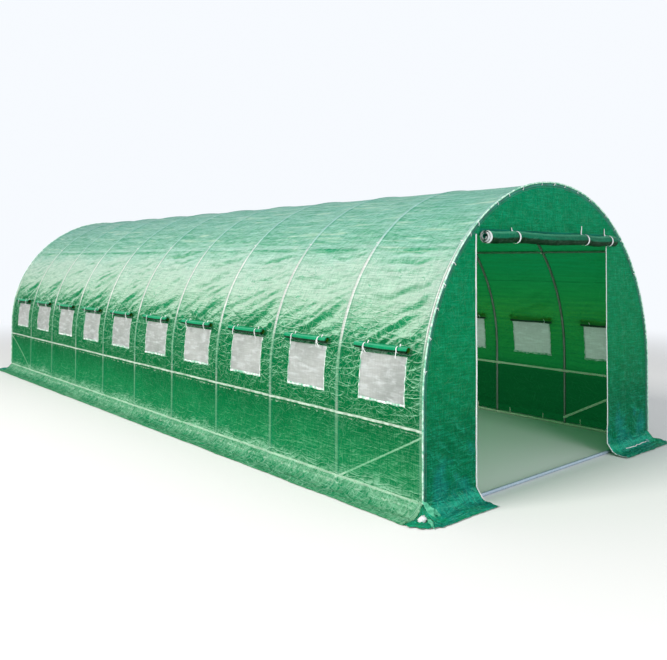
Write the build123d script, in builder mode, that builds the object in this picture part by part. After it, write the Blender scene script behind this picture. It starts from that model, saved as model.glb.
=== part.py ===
"""Walk-in polytunnel greenhouse: bolted steel hoops under a woven green cover.

Millimetres, +Z up. The origin is on the ground at the middle of the plan, the open door end faces -Y
and the tunnel runs along Y. The left side is at -X.
"""

import os
from math import asin, cos, degrees, radians, sin

from build123d import *

# Hoops
bay_count = 10
bay_spacing = 800.0
span = 3000.0
leg_height = 700.0
tube_diameter = 25.0
tube_sides = 6

# Rails, purlins and braces, bolted to the inside of the hoops by their flattened ends
rail_diameter = 22.0
rail_height = 530.0
purlin_angle = 42.0
lug_thickness = 3.0
lug_width = 18.0
lug_reach = 9.0
lug_overlap = 24.0
rail_end_clearance = 6.0
brace_foot_height = 75.0
brace_head_drop = 38.0

# Cover
cover_thickness = 2.0
seat_gap = 0.3
flap_rise = 90.0
flap_slope_run = 60.0
flap_width = 120.0

# Windows: one in each bay of both long sides
window_width = 430.0
window_height = 310.0
window_sill = 670.0
window_offset = -35.0
mesh_thickness = 1.2
window_roll_radius = 22.0
window_roll_sides = 8
window_roll_overhang = 45.0
window_roll_lift = 40.0

# Doorway in each end
door_width = 1740.0
door_height = 1775.0
door_offset = -90.0
door_roll_radius = 46.0
door_roll_pitch = 9.0
door_roll_half_turns = 7
door_roll_length = 1755.0
door_roll_offset = -45.0
door_roll_tail = 40.0
zip_width = 14.0
zip_thickness = 3.0

# Worked out from the sizes above
apex = Vector(0, 0, leg_height)
length = bay_count * bay_spacing
hoop_positions = [bay_spacing * n - length / 2 for n in range(bay_count + 1)]
corner_share = 1 / cos(radians(180 / tube_sides))
tube_corner = tube_diameter / 2 * corner_share
rail_corner = rail_diameter / 2 * corner_share
hoop_radius = span / 2 - tube_diameter / 2
seat_radius = span / 2 - tube_diameter - seat_gap
lug_pitch = lug_thickness + seat_gap
rail_radius = seat_radius - lug_pitch - lug_thickness + rail_diameter / 2
cover_inside = span / 2 + seat_gap
cover_outside = cover_inside + cover_thickness
cover_end = length / 2 + tube_corner + seat_gap
window_head = window_sill + window_height
purlin_height = leg_height + cover_inside * sin(radians(purlin_angle))
ridge_height = leg_height + cover_outside
window_positions = [y + bay_spacing / 2 + window_offset for y in hoop_positions[:-1]]
door_left = door_offset - door_width / 2
door_right = door_offset + door_width / 2
door_bottom = flap_rise
tape_face = cover_end + cover_thickness + seat_gap
left, right = -1, 1
front, back = -1, 1

os.makedirs("parts", exist_ok=True)


def save(part, name):
    """Label a finished piece and write it as its own STEP file."""
    part.label = name
    export_step(part, f"parts/{name}.step")


def save_pair(part, name):
    """Save a left-hand piece, and the right-hand one that mirrors it."""
    save(part, f"left_{name}")
    with BuildPart() as twin:
        mirror(part, about=Plane.YZ)
    save(twin.part, f"right_{name}")


def tube_profile(diameter):
    """A tube's outline as a polygon, with a flat towards the cover and another towards the inside."""
    RegularPolygon(diameter / 2, tube_sides, major_radius=False, rotation=180 / tube_sides)


# Hoops: two straight legs and a half circle, each hoop standing on the ground

for number, hoop_y in enumerate(hoop_positions, 1):
    hoop_axis = Axis((0, hoop_y, leg_height), (0, 1, 0))
    with BuildPart() as hoop:
        with BuildSketch(Plane.XY.offset(leg_height)):
            with Locations((-hoop_radius, hoop_y)):
                tube_profile(tube_diameter)
        revolve(axis=hoop_axis, revolution_arc=180)
        with BuildSketch():
            with Locations((-hoop_radius, hoop_y), (hoop_radius, hoop_y)):
                tube_profile(tube_diameter)
        extrude(amount=leg_height)
    save(hoop.part, f"hoop_{number:02d}")


# Struts: a tube between two hoops, flattened into a lug at each end. The lugs lie in layers on the
# inside face of the hoop, where one bolt holds them


def outward_at(angle, side):
    """The direction out through the cover, at an angle above the horizontal, on the left or the right."""
    return Vector(side * cos(radians(angle)), 0, sin(radians(angle)))


def strut(start, end, outward, axis_radius, layers):
    """One strut. Its ends are given on the middle of the tunnel, and its lugs by their layers."""
    along = (end - start).normalized()
    tube_inset = tube_corner + rail_end_clearance
    tube_foot = start + along * tube_inset + outward * axis_radius
    lug_length = lug_reach + tube_inset + lug_overlap
    with BuildPart() as piece:
        with BuildSketch(Plane(origin=tube_foot, x_dir=outward, z_dir=along)):
            tube_profile(rail_diameter)
        extrude(amount=(end - start).length - 2 * tube_inset)
        for bolt_point, inboard, layer in ((start, along, layers[0]), (end, -along, layers[1])):
            lug_face = outward * (seat_radius - layer * lug_pitch)
            lug_middle = bolt_point + inboard * (lug_length / 2 - lug_reach) + lug_face
            with BuildSketch(Plane(origin=lug_middle, x_dir=inboard, z_dir=-outward)):
                Rectangle(lug_length, lug_width)
            extrude(amount=lug_thickness)
    return piece.part


def rail(base, outward):
    """The struts of one rail, one in each bay. The base is the line that the radius is measured from."""
    struts = []
    for bay_start, bay_end in zip(hoop_positions, hoop_positions[1:]):
        start = base + Vector(0, bay_start, 0)
        end = base + Vector(0, bay_end, 0)
        end_layer = 0 if bay_end == hoop_positions[-1] else 1
        struts.append(strut(start, end, outward, rail_radius, (0, end_layer)))
    return Part(Compound(struts))


save_pair(rail(Vector(0, 0, rail_corner), outward_at(0, left)), "ground_rail")
save_pair(rail(Vector(0, 0, rail_height), outward_at(0, left)), "side_rail")
save_pair(rail(apex, outward_at(purlin_angle, left)), "purlin")
save(rail(apex, outward_at(90, left)), "ridge_purlin")


# Braces: a diagonal strut in each end bay, from the foot of the second hoop up to the end hoop

braces = []
for end in (front, back):
    brace_foot = Vector(0, end * (length / 2 - bay_spacing), brace_foot_height)
    brace_head = Vector(0, end * length / 2, rail_height - brace_head_drop)
    braces.append(strut(brace_foot, brace_head, outward_at(0, left), seat_radius - rail_diameter / 2, (0, 0)))
save_pair(Part(Compound(braces)), "braces")


# Ground bars: a tube across each end, between the lugs at the feet of the end hoop

bar_length = 2 * (seat_radius - lug_thickness - seat_gap)
for end_name, end in (("front", front), ("back", back)):
    bar_end = Vector(-bar_length / 2, end * length / 2, tube_diameter / 2)
    with BuildPart() as ground_bar:
        with BuildSketch(Plane(origin=bar_end, x_dir=(0, 0, 1), z_dir=(1, 0, 0))):
            tube_profile(tube_diameter)
        extrude(amount=bar_length)
    save(ground_bar.part, f"{end_name}_ground_bar")


# Cover: on each side a strip of sheet from the ground flap up to the window sills, the stretches between
# the windows, a shoulder from there to the purlin and a roof slope up to the ridge


def cover_strip(inner_radius, thickness, bottom, top):
    """The left half of the cover between two heights, over the whole length of the tunnel."""
    outer_radius = inner_radius + thickness
    with BuildPart() as strip:
        with BuildSketch(Plane.XZ.offset(-cover_end)):
            with BuildLine():
                inner_arc = CenterArc((0, leg_height), inner_radius, 90, 90)
                outer_arc = CenterArc((0, leg_height), outer_radius, 90, 90)
                Line(inner_arc @ 0, outer_arc @ 0)
                inner_leg = Line(inner_arc @ 1, (-inner_radius, flap_rise))
                outer_leg = Line(outer_arc @ 1, (-outer_radius, flap_rise))
                Line(inner_leg @ 1, outer_leg @ 1)
            make_face()
            with Locations((-outer_radius / 2, (bottom + top) / 2)):
                Rectangle(outer_radius, top - bottom, mode=Mode.INTERSECT)
        extrude(amount=2 * cover_end)
    return strip.part


def window_blocks(clearance):
    """Blocks through the left wall's windows, smaller all round by a clearance."""
    with BuildPart() as blocks:
        with BuildSketch(Plane.YZ.offset(-span)):
            for y in window_positions:
                with Locations((y, window_sill + window_height / 2)):
                    Rectangle(window_width - 2 * clearance, window_height - 2 * clearance)
        extrude(amount=span)
    return blocks.part


save_pair(cover_strip(cover_inside, cover_thickness, flap_rise, window_sill), "lower_wall")
save_pair(cover_strip(cover_inside, cover_thickness, window_head, purlin_height), "shoulder")
save_pair(cover_strip(cover_inside, cover_thickness, purlin_height, ridge_height), "roof")

window_strip = cover_strip(cover_inside, cover_thickness, window_sill, window_head)
window_cuts = window_blocks(0)
with BuildPart() as window_wall:
    add(window_strip)
    add(window_cuts, mode=Mode.SUBTRACT)
save_pair(window_wall.part, "window_wall")


# Windows: insect mesh in each opening, and its green flap rolled up above it

mesh_radius = cover_inside + (cover_thickness - mesh_thickness) / 2
mesh_strip = cover_strip(mesh_radius, mesh_thickness, window_sill, window_head)
mesh_blocks = window_blocks(seat_gap)
with BuildPart() as window_mesh:
    add(mesh_strip)
    add(mesh_blocks, mode=Mode.INTERSECT)
save_pair(window_mesh.part, "window_mesh")

roll_height = window_head + window_roll_lift
roll_outward = outward_at(degrees(asin((roll_height - leg_height) / cover_outside)), left)
roll_line = apex + roll_outward * (cover_outside + seat_gap + window_roll_radius)
window_roll_length = window_width + 2 * window_roll_overhang
with BuildPart() as window_rolls:
    for y in window_positions:
        roll_start = roll_line + Vector(0, y - window_roll_length / 2, 0)
        with BuildSketch(Plane(origin=roll_start, x_dir=roll_outward, z_dir=(0, 1, 0))):
            half_side = 180 / window_roll_sides
            RegularPolygon(window_roll_radius, window_roll_sides, major_radius=False, rotation=half_side)
        extrude(amount=window_roll_length)
save_pair(window_rolls.part, "window_rolls")


# Ends: a flat panel over each end hoop, with a doorway up from the ground flap

with BuildLine() as end_outline:
    crown = CenterArc((0, leg_height), cover_outside, 0, 180)
    Polyline(crown @ 1, (-cover_outside, flap_rise), (cover_outside, flap_rise), crown @ 0)


def front_panel(panel_left, panel_right, bottom, top, name):
    """Save the piece of the front end that lies inside a rectangle."""
    with BuildPart() as panel:
        with BuildSketch(Plane.XZ.offset(cover_end)):
            make_face(end_outline.edges())
            with Locations(((panel_left + panel_right) / 2, (bottom + top) / 2)):
                Rectangle(panel_right - panel_left, top - bottom, mode=Mode.INTERSECT)
        extrude(amount=cover_thickness)
    save(panel.part, name)


front_panel(-cover_outside, door_left, flap_rise, door_height, "front_end_left")
front_panel(door_right, cover_outside, flap_rise, door_height, "front_end_right")
front_panel(-cover_outside, cover_outside, door_height, ridge_height, "front_end_top")

door_middle = (door_offset, (door_bottom + door_height) / 2)
door_rise = door_height - door_bottom
back_face = Plane.XZ.offset(-cover_end - cover_thickness)
with BuildPart() as back_end:
    with BuildSketch(back_face):
        make_face(end_outline.edges())
        with Locations(door_middle):
            Rectangle(door_width, door_rise, mode=Mode.SUBTRACT)
    extrude(amount=cover_thickness)
save(back_end.part, "back_end_panel")

with BuildPart() as back_door:
    with BuildSketch(back_face):
        with Locations(door_middle):
            Rectangle(door_width - 2 * seat_gap, door_rise - 2 * seat_gap)
    extrude(amount=cover_thickness)
save(back_door.part, "back_door")


# Zips: a tape up each side of both doorways

for end_name, end in (("front", front), ("back", back)):
    with BuildPart() as zips:
        with BuildSketch(Plane.XZ.offset(-end * tape_face)):
            for edge, outboard in ((door_left, left), (door_right, right)):
                with Locations((edge + outboard * zip_width / 2, door_middle[1])):
                    Rectangle(zip_width, door_rise)
        extrude(amount=-end * zip_thickness)
    save(zips.part, f"{end_name}_door_zips")


# Door roll: the front door's sheet hangs from the panel above and is wound up on itself, from the
# outside in. Each half turn has its own centre, so that the turns run into each other

roll_start_corner = Vector(
    door_roll_offset - door_roll_length / 2,
    -(tape_face + zip_thickness + seat_gap + door_roll_radius),
    door_height,
)
with BuildPart() as door_roll:
    with BuildSketch(Plane(origin=roll_start_corner, x_dir=(0, 1, 0), z_dir=(1, 0, 0))):
        with BuildLine():
            turn_centre = 0.0
            for half_turn in range(door_roll_half_turns):
                turn_radius = door_roll_radius - half_turn * door_roll_pitch / 2
                heading = 1 if half_turn % 2 == 0 else -1
                start_angle = 0 if heading == 1 else 180
                outer_turn = CenterArc((turn_centre, 0), turn_radius, start_angle, -180)
                inner_turn = CenterArc((turn_centre, 0), turn_radius - cover_thickness, start_angle, -180)
                turn_centre -= heading * door_roll_pitch / 2
            Line(outer_turn @ 1, inner_turn @ 1)
            tail_top = door_roll_radius + door_roll_tail
            Polyline(
                (door_roll_radius, 0),
                (door_roll_radius, tail_top),
                (door_roll_radius - cover_thickness, tail_top),
                (door_roll_radius - cover_thickness, 0),
            )
        make_face()
    extrude(amount=door_roll_length)
save(door_roll.part, "front_door_roll")


# Ground flaps: the hem of the cover turns out onto the ground along the sides and round the corners.
# In their section X runs outwards from the inside face of the cover, and Y runs up

with BuildLine() as flap_outline:
    flap_edge = flap_slope_run + flap_width
    Polyline(
        (0, flap_rise),
        (cover_thickness, flap_rise),
        (flap_slope_run, cover_thickness),
        (flap_edge, cover_thickness),
        (flap_edge, 0),
        (flap_slope_run - cover_thickness, 0),
        close=True,
    )

with BuildPart() as side_flap:
    with BuildSketch(Plane(origin=(-cover_inside, -cover_end, 0), x_dir=(-1, 0, 0), z_dir=(0, 1, 0))):
        make_face(flap_outline.edges())
    extrude(amount=2 * cover_end)
save_pair(side_flap.part, "side_flap")


def end_flap(end, flap_left, flap_right, corners, name):
    """Save a flap across an end, carried a quarter turn round the corners that it is given."""
    with BuildPart() as flap:
        with BuildSketch(Plane(origin=(flap_left, end * cover_end, 0), x_dir=(0, end, 0), z_dir=(end, 0, 0))):
            make_face(flap_outline.edges())
        extrude(amount=end * (flap_right - flap_left))
        for side in corners:
            corner = (side * cover_inside, end * cover_end, 0)
            with BuildSketch(Plane(origin=corner, x_dir=(side, 0, 0), z_dir=(0, -side, 0))):
                make_face(flap_outline.edges())
            revolve(axis=Axis(corner, (0, 0, 1)), revolution_arc=90 * side * end)
    save(flap.part, name)


end_flap(front, -cover_inside, door_left, [left], "front_left_flap")
end_flap(front, door_right, cover_inside, [right], "front_right_flap")
end_flap(back, -cover_inside, cover_inside, [left, right], "back_flap")
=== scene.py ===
"""A polytunnel greenhouse: galvanised hoops and rails under a sewn cover of woven green polyethylene.

Metres, Z up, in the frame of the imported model. The doorway faces -Y and the left side is at -X.
"""

import math

import bpy
import numpy as np
from mathutils import Matrix, Vector


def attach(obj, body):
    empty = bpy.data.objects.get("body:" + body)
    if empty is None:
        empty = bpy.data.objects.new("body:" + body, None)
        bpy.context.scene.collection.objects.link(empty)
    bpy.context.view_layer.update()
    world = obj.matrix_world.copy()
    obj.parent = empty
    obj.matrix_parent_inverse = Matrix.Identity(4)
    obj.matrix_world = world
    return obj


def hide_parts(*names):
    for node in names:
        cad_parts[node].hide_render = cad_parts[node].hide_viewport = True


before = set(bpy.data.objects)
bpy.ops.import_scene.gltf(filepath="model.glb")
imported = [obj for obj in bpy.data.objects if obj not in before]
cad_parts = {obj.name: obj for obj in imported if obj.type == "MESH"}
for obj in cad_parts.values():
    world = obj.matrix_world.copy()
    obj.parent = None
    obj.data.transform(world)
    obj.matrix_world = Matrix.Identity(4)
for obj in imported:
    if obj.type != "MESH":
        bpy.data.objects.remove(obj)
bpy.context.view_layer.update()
scene = bpy.context.scene
scene.view_settings.view_transform = "Standard"


# Camera and studio: a camera at eye height off the front left corner, a pale floor, a large soft lamp
# on the left, a weaker one in front and an even pale surround.

camera_data = bpy.data.cameras.new("camera")
camera_data.lens = 38.6
camera_data.shift_y = -0.130
camera_data.clip_end = 300
camera = bpy.data.objects.new("camera", camera_data)
scene.collection.objects.link(camera)
scene.camera = camera
camera_yaw, camera_pitch, camera_roll = 0.717, 0.025, 0.003
forward = Vector((
    math.sin(camera_yaw) * math.cos(camera_pitch),
    math.cos(camera_yaw) * math.cos(camera_pitch),
    math.sin(camera_pitch),
))
camera.matrix_world = (
    Matrix.Translation((-4.871, -7.030, 1.598))
    @ forward.to_track_quat("-Z", "Y").to_matrix().to_4x4()
    @ Matrix.Rotation(camera_roll, 4, "Z")
)


def put(tree, kind, sockets=None, **settings):
    """A shader or geometry node with its settings, and with a value or a link in each named socket."""
    made = tree.nodes.new(kind)
    for name, value in settings.items():
        setattr(made, name, value)
    for name, value in (sockets or {}).items():
        if isinstance(value, bpy.types.NodeSocket):
            tree.links.new(value, made.inputs[name])
        else:
            made.inputs[name].default_value = value
    return made


def maths(tree, operation, *values, clamp=False):
    """What a Math node makes of its values."""
    made = put(tree, "ShaderNodeMath", dict(enumerate(values)), operation=operation, use_clamp=clamp)
    return made.outputs[0]


def remap(tree, value, start, stop, low=0.0, high=1.0, smooth=False):
    """A value carried from one range to another, held at both ends, and eased there if smooth."""
    sockets = {"Value": value, "From Min": start, "From Max": stop, "To Min": low, "To Max": high}
    kind = "SMOOTHSTEP" if smooth else "LINEAR"
    return put(tree, "ShaderNodeMapRange", sockets, interpolation_type=kind).outputs[0]


def vectors(tree, operation, *values):
    """What a Vector Math node makes of its vectors."""
    return put(tree, "ShaderNodeVectorMath", dict(enumerate(values)), operation=operation).outputs[0]


def scaled(tree, vector, share):
    """A vector or a colour times a value."""
    return put(tree, "ShaderNodeVectorMath", {0: vector, "Scale": share}, operation="SCALE").outputs[0]


def blend_shaders(tree, share, low, high, out):
    """Two shaders blended by a share, as the surface of a material."""
    both = put(tree, "ShaderNodeMixShader", {0: share, 1: low.outputs[0], 2: high.outputs[0]})
    tree.links.new(both.outputs[0], out.inputs["Surface"])


def new_material(name):
    """An empty node material and its output node."""
    material = bpy.data.materials.new(name)
    material.use_nodes = True
    material.node_tree.nodes.clear()
    return material, put(material.node_tree, "ShaderNodeOutputMaterial")


def lamp(name, place, aim, size, power, colour):
    """A soft rectangular lamp that shines from one place to another."""
    data = bpy.data.lights.new(name, "AREA")
    data.shape, data.size, data.size_y = "RECTANGLE", size[0], size[1]
    data.energy, data.color = power, colour
    made = bpy.data.objects.new(name, data)
    scene.collection.objects.link(made)
    turn = (Vector(aim) - Vector(place)).to_track_quat("-Z", "Y").to_matrix().to_4x4()
    made.matrix_world = Matrix.Translation(place) @ turn


lamp("key lamp", (-13, -1, 10), (0, 0, 0.8), (5, 3.5), 2100, (1.0, 0.97, 0.92))
lamp("front lamp", (-3.0, -14, 3.4), (0.6, -3, 0.9), (5, 4), 560, (0.97, 0.98, 1.0))

backdrop_colour = (0.93, 0.96, 1.0)


def seen_directly(tree):
    """1 for what the camera sees itself, reflected or through glass, and 0 for what only gives light."""
    rays = put(tree, "ShaderNodeLightPath")
    mirrored = maths(tree, "ADD", rays.outputs["Is Glossy Ray"], rays.outputs["Is Transmission Ray"])
    return maths(tree, "ADD", rays.outputs["Is Camera Ray"], mirrored, clamp=True)


world = bpy.data.worlds.new("studio")
scene.world = world
world.use_nodes = True
surround = world.node_tree
surround.nodes.clear()
pale_behind = put(
    surround, "ShaderNodeMix", {0: seen_directly(surround), "A": 0.55, "B": 1.0}, data_type="FLOAT",
)
surround_light = put(
    surround, "ShaderNodeBackground", {"Color": (*backdrop_colour, 1), "Strength": pale_behind.outputs[0]}
)
put(surround, "ShaderNodeOutputWorld", {"Surface": surround_light.outputs[0]})

floor_mesh = bpy.data.meshes.new("floor")
floor_half, floor_drop = 40, 0.002
floor_mesh.from_pydata(
    [(x * floor_half, y * floor_half, -floor_drop) for x, y in ((-1, -1), (1, -1), (1, 1), (-1, 1))],
    [], [(0, 1, 2, 3)],
)
floor = bpy.data.objects.new("floor", floor_mesh)
scene.collection.objects.link(floor)
floor_material, floor_out = new_material("studio floor")
floor_tree = floor_material.node_tree
floor_shader = put(
    floor_tree, "ShaderNodeBsdfPrincipled", {"Base Color": (0.84, 0.84, 0.83, 1), "Roughness": 0.9},
)
floor_place = put(floor_tree, "ShaderNodeTexCoord")
from_middle = put(floor_tree, "ShaderNodeVectorMath", {0: floor_place.outputs["Object"]}, operation="LENGTH")
far_off = remap(floor_tree, from_middle.outputs["Value"], 6.0, 12.5, smooth=True)
floor_fade = maths(floor_tree, "MULTIPLY", far_off, seen_directly(floor_tree))
floor_glow = put(floor_tree, "ShaderNodeEmission", {"Color": (*backdrop_colour, 1), "Strength": 1.0})
blend_shaders(floor_tree, floor_fade, floor_shader, floor_glow, floor_out)
floor_mesh.materials.append(floor_material)


# Hoops: eleven arches of 25 mm galvanised steel tube, each a half circle on two straight legs, cut into
# five lengths that push into each other. Their joints show as a fine step.

bay, bays = 0.8, 10
hoop_places = [bay * n - bay * bays / 2 for n in range(bays + 1)]
leg, hoop_line, tube_radius = 0.7, 1.4875, 0.0125
bottom_gap = 0.0005


def put_in_scene(name, mesh, body="root"):
    """An object at the origin that rides on a body."""
    made = bpy.data.objects.new(name, mesh)
    scene.collection.objects.link(made)
    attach(made, body)
    return made


def line_object(name, lines):
    """A mesh of plain lines for a geometry tree to work on."""
    mesh = bpy.data.meshes.new(name)
    points, edges = [], []
    for line in lines:
        edges += [(len(points) + n, len(points) + n + 1) for n in range(len(line) - 1)]
        points += [tuple(p) for p in line]
    mesh.from_pydata(points, edges, [])
    made = bpy.data.objects.new(name, mesh)
    scene.collection.objects.link(made)
    return made


def new_tree(name, inputs):
    """A geometry tree with named inputs. Returns the tree, its input node and its output node."""
    tree = bpy.data.node_groups.new(name, "GeometryNodeTree")
    tree.interface.new_socket("Geometry", in_out="INPUT", socket_type="NodeSocketGeometry")
    for label, kind in inputs.items():
        tree.interface.new_socket(label, in_out="INPUT", socket_type=f"NodeSocket{kind}")
    tree.interface.new_socket("Geometry", in_out="OUTPUT", socket_type="NodeSocketGeometry")
    return tree, put(tree, "NodeGroupInput"), put(tree, "NodeGroupOutput")


def painted_copies(tree, points, shape, tree_in, tree_out):
    """The end of a geometry tree: a copy of a shape at each point, made real and given its material."""
    sockets = {"Points": points.outputs[0], "Instance": shape.outputs[0]}
    copies = put(tree, "GeometryNodeInstanceOnPoints", sockets)
    real = put(tree, "GeometryNodeRealizeInstances", {"Geometry": copies.outputs[0]})
    sockets = {"Geometry": real.outputs[0], "Material": tree_in.outputs["Material"]}
    painted = put(tree, "GeometryNodeSetMaterial", sockets)
    tree.links.new(painted.outputs[0], tree_out.inputs[0])


def grow(source, tree, values, name):
    """The mesh that a geometry tree makes of an object, as a new piece. The first object is removed."""
    modifier = source.modifiers.new("nodes", "NODES")
    modifier.node_group = tree
    sockets = {s.name: s.identifier for s in tree.interface.items_tree if s.in_out == "INPUT"}
    for label, value in values.items():
        modifier[sockets[label]] = value
    evaluated = source.evaluated_get(bpy.context.evaluated_depsgraph_get())
    mesh = bpy.data.meshes.new_from_object(evaluated)
    source.modifiers.clear()
    bpy.data.objects.remove(source)
    mesh.name = name
    return put_in_scene(name, mesh)


tube_tree, tube_in, tube_out = new_tree(
    "tube along a line",
    {"Radius": "Float", "Sides": "Int", "Copies": "Int", "Step": "Vector", "Material": "Material"},
)
tube_ring = put(
    tube_tree, "GeometryNodeCurvePrimitiveCircle",
    {"Radius": tube_in.outputs["Radius"], "Resolution": tube_in.outputs["Sides"]},
)
tube_curve = put(tube_tree, "GeometryNodeMeshToCurve", {"Mesh": tube_in.outputs["Geometry"]})
tube_skin = put(
    tube_tree, "GeometryNodeCurveToMesh",
    {"Curve": tube_curve.outputs[0], "Profile Curve": tube_ring.outputs[0], "Fill Caps": True},
)
tube_smooth = put(tube_tree, "GeometryNodeSetShadeSmooth", {"Geometry": tube_skin.outputs[0]})
tube_row = put(
    tube_tree, "GeometryNodeMeshLine", {"Count": tube_in.outputs["Copies"], "Offset": tube_in.outputs["Step"]}
)
painted_copies(tube_tree, tube_row, tube_smooth, tube_in, tube_out)


def noise(tree, place, size, detail, distortion=0.0):
    """A noise texture. A larger size gives smaller spots."""
    sockets = {"Vector": place, "Scale": size, "Detail": detail, "Distortion": distortion}
    return put(tree, "ShaderNodeTexNoise", sockets)


def blend_colour(tree, share, low, high):
    """A colour between two others."""
    low, high = ((*c, 1) if isinstance(c, tuple) else c for c in (low, high))
    return put(tree, "ShaderNodeMix", {0: share, 6: low, 7: high}, data_type="RGBA").outputs[2]


def bump(tree, height, strength, distance, **more):
    """The normal that a height gives, on top of another one if that is named."""
    sockets = {"Height": height, **more, "Strength": strength, "Distance": distance}
    return put(tree, "ShaderNodeBump", sockets).outputs[0]


def tubes(name, lines, radius, sides, material, copies=1, step=(0, 0, 0)):
    """Tubes along lines as one piece, repeated at a step."""
    values = {"Radius": radius, "Sides": sides, "Copies": copies, "Step": step, "Material": material}
    return grow(line_object(f"{name} lines", lines), tube_tree, values, name)


# Galvanised steel, as a group: its mottled tone and roughness, from spangle and dull spots.
zinc = bpy.data.node_groups.new("galvanising", "ShaderNodeTree")
for label in ("Light", "Dark"):
    zinc.interface.new_socket(label, in_out="INPUT", socket_type="NodeSocketColor")
for label, kind in {"Color": "Color", "Roughness": "Float", "Height": "Float"}.items():
    zinc.interface.new_socket(label, in_out="OUTPUT", socket_type=f"NodeSocket{kind}")
zinc_in, zinc_out = put(zinc, "NodeGroupInput"), put(zinc, "NodeGroupOutput")
zinc_place = put(zinc, "ShaderNodeTexCoord").outputs["Object"]
spangle = put(zinc, "ShaderNodeTexVoronoi", {"Vector": zinc_place, "Scale": 160.0})
dull_spots = noise(zinc, zinc_place, 14.0, 5.0)
zinc_mix = maths(zinc, "MULTIPLY", spangle.outputs["Distance"], dull_spots.outputs["Fac"])
zinc_tone = remap(zinc, zinc_mix, 0.05, 0.45)
zinc_colour = blend_colour(zinc, zinc_tone, zinc_in.outputs["Dark"], zinc_in.outputs["Light"])
zinc_rough = remap(zinc, dull_spots.outputs["Fac"], 0.3, 0.7, 0.28, 0.5)
zinc.links.new(zinc_colour, zinc_out.inputs["Color"])
zinc.links.new(zinc_rough, zinc_out.inputs["Roughness"])
zinc.links.new(spangle.outputs["Distance"], zinc_out.inputs["Height"])


def steel(name, light, dark, metallic):
    """A galvanised steel finish with its own light and dark tone."""
    material, out = new_material(name)
    tree = material.node_tree
    mottle = put(tree, "ShaderNodeGroup", node_tree=zinc)
    mottle.inputs["Light"].default_value, mottle.inputs["Dark"].default_value = (*light, 1), (*dark, 1)
    relief = bump(tree, mottle.outputs["Height"], 0.15, 0.0004)
    tone, rough_part = mottle.outputs["Color"], mottle.outputs["Roughness"]
    sockets = {"Base Color": tone, "Roughness": rough_part, "Metallic": metallic, "Normal": relief}
    shader = put(tree, "ShaderNodeBsdfPrincipled", sockets)
    tree.links.new(shader.outputs[0], out.inputs["Surface"])
    return material


hoop_steel = steel("galvanised tube", (0.34, 0.36, 0.33), (0.18, 0.20, 0.18), 0.75)
arch_steps = 60
arch_turns = [math.pi * n / arch_steps for n in range(arch_steps + 1)]
leg_heights = (bottom_gap, leg / 2, leg * 0.97)
hoop_path = (
    [(-hoop_line, hoop_places[0], z) for z in leg_heights]
    + [(-hoop_line * math.cos(t), hoop_places[0], leg + hoop_line * math.sin(t)) for t in arch_turns]
    + [(hoop_line, hoop_places[0], z) for z in reversed(leg_heights)]
)
hoops = tubes("hoops", [hoop_path], tube_radius, 16, hoop_steel, bays + 1, (0, bay, 0))
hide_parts(*[f"hoop_{n:02d}" for n in range(1, bays + 2)])


# Rails, purlins and braces: 22 mm galvanised tubes one bay long, flattened at both ends and bolted to the
# inside of the hoops. Neighbours share a bolt, one end over the other.

rail_tube, rail_line = 0.011, 1.4794
seat_line, lug_half_thick, lug_half_wide = 1.4747, 0.0015, 0.0098
ground_rail_height, side_rail_height, purlin_angle = 0.0127, 0.53, 42


def strut_mesh(name, struts):
    """Tubes with flattened ends. Each strut is its two ends, its way out, its axis and its ends' layers."""
    rings = 14
    points, faces = [], []
    for start, end, outward, axis_out, layers in struts:
        start, end, outward = Vector(start), Vector(end), Vector(outward)
        along = (end - start).normalized()
        side = along.cross(outward)
        span = (end - start).length
        stations = []
        for layer, sign in zip(layers, (1, -1)):
            lug_out = seat_line - 0.0033 * layer - lug_half_thick
            profile = [
                (-0.009, lug_out, lug_half_thick, lug_half_wide * 0.72),
                (-0.004, lug_out, lug_half_thick, lug_half_wide),
                (0.018, lug_out, lug_half_thick, lug_half_wide),
                (0.028, lug_out, lug_half_thick * 1.3, lug_half_wide * 1.25),
                (0.044, (lug_out + axis_out) / 2, rail_tube * 0.55, rail_tube * 1.18),
                (0.062, axis_out, rail_tube, rail_tube),
            ]
            if sign < 0:
                profile = [(span - a, b, c, d) for a, b, c, d in reversed(profile)]
            stations += profile
        first = len(points)
        for place, out, half_out, half_side in stations:
            centre = start + along * place + outward * out
            for n in range(rings):
                turn = 2 * math.pi * n / rings
                points.append(
                    centre + outward * (half_out * math.cos(turn)) + side * (half_side * math.sin(turn))
                )
        for k in range(len(stations) - 1):
            for n in range(rings):
                a, b = first + k * rings + n, first + k * rings + (n + 1) % rings
                faces.append((a, b, b + rings, a + rings))
        faces.append(tuple(first + n for n in reversed(range(rings))))
        faces.append(tuple(first + (len(stations) - 1) * rings + n for n in range(rings)))
    mesh = bpy.data.meshes.new(name)
    mesh.from_pydata([tuple(p) for p in points], [], faces)
    mesh.polygons.foreach_set("use_smooth", [True] * len(mesh.polygons))
    mesh.set_sharp_from_angle(angle=math.radians(50))
    return mesh


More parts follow.
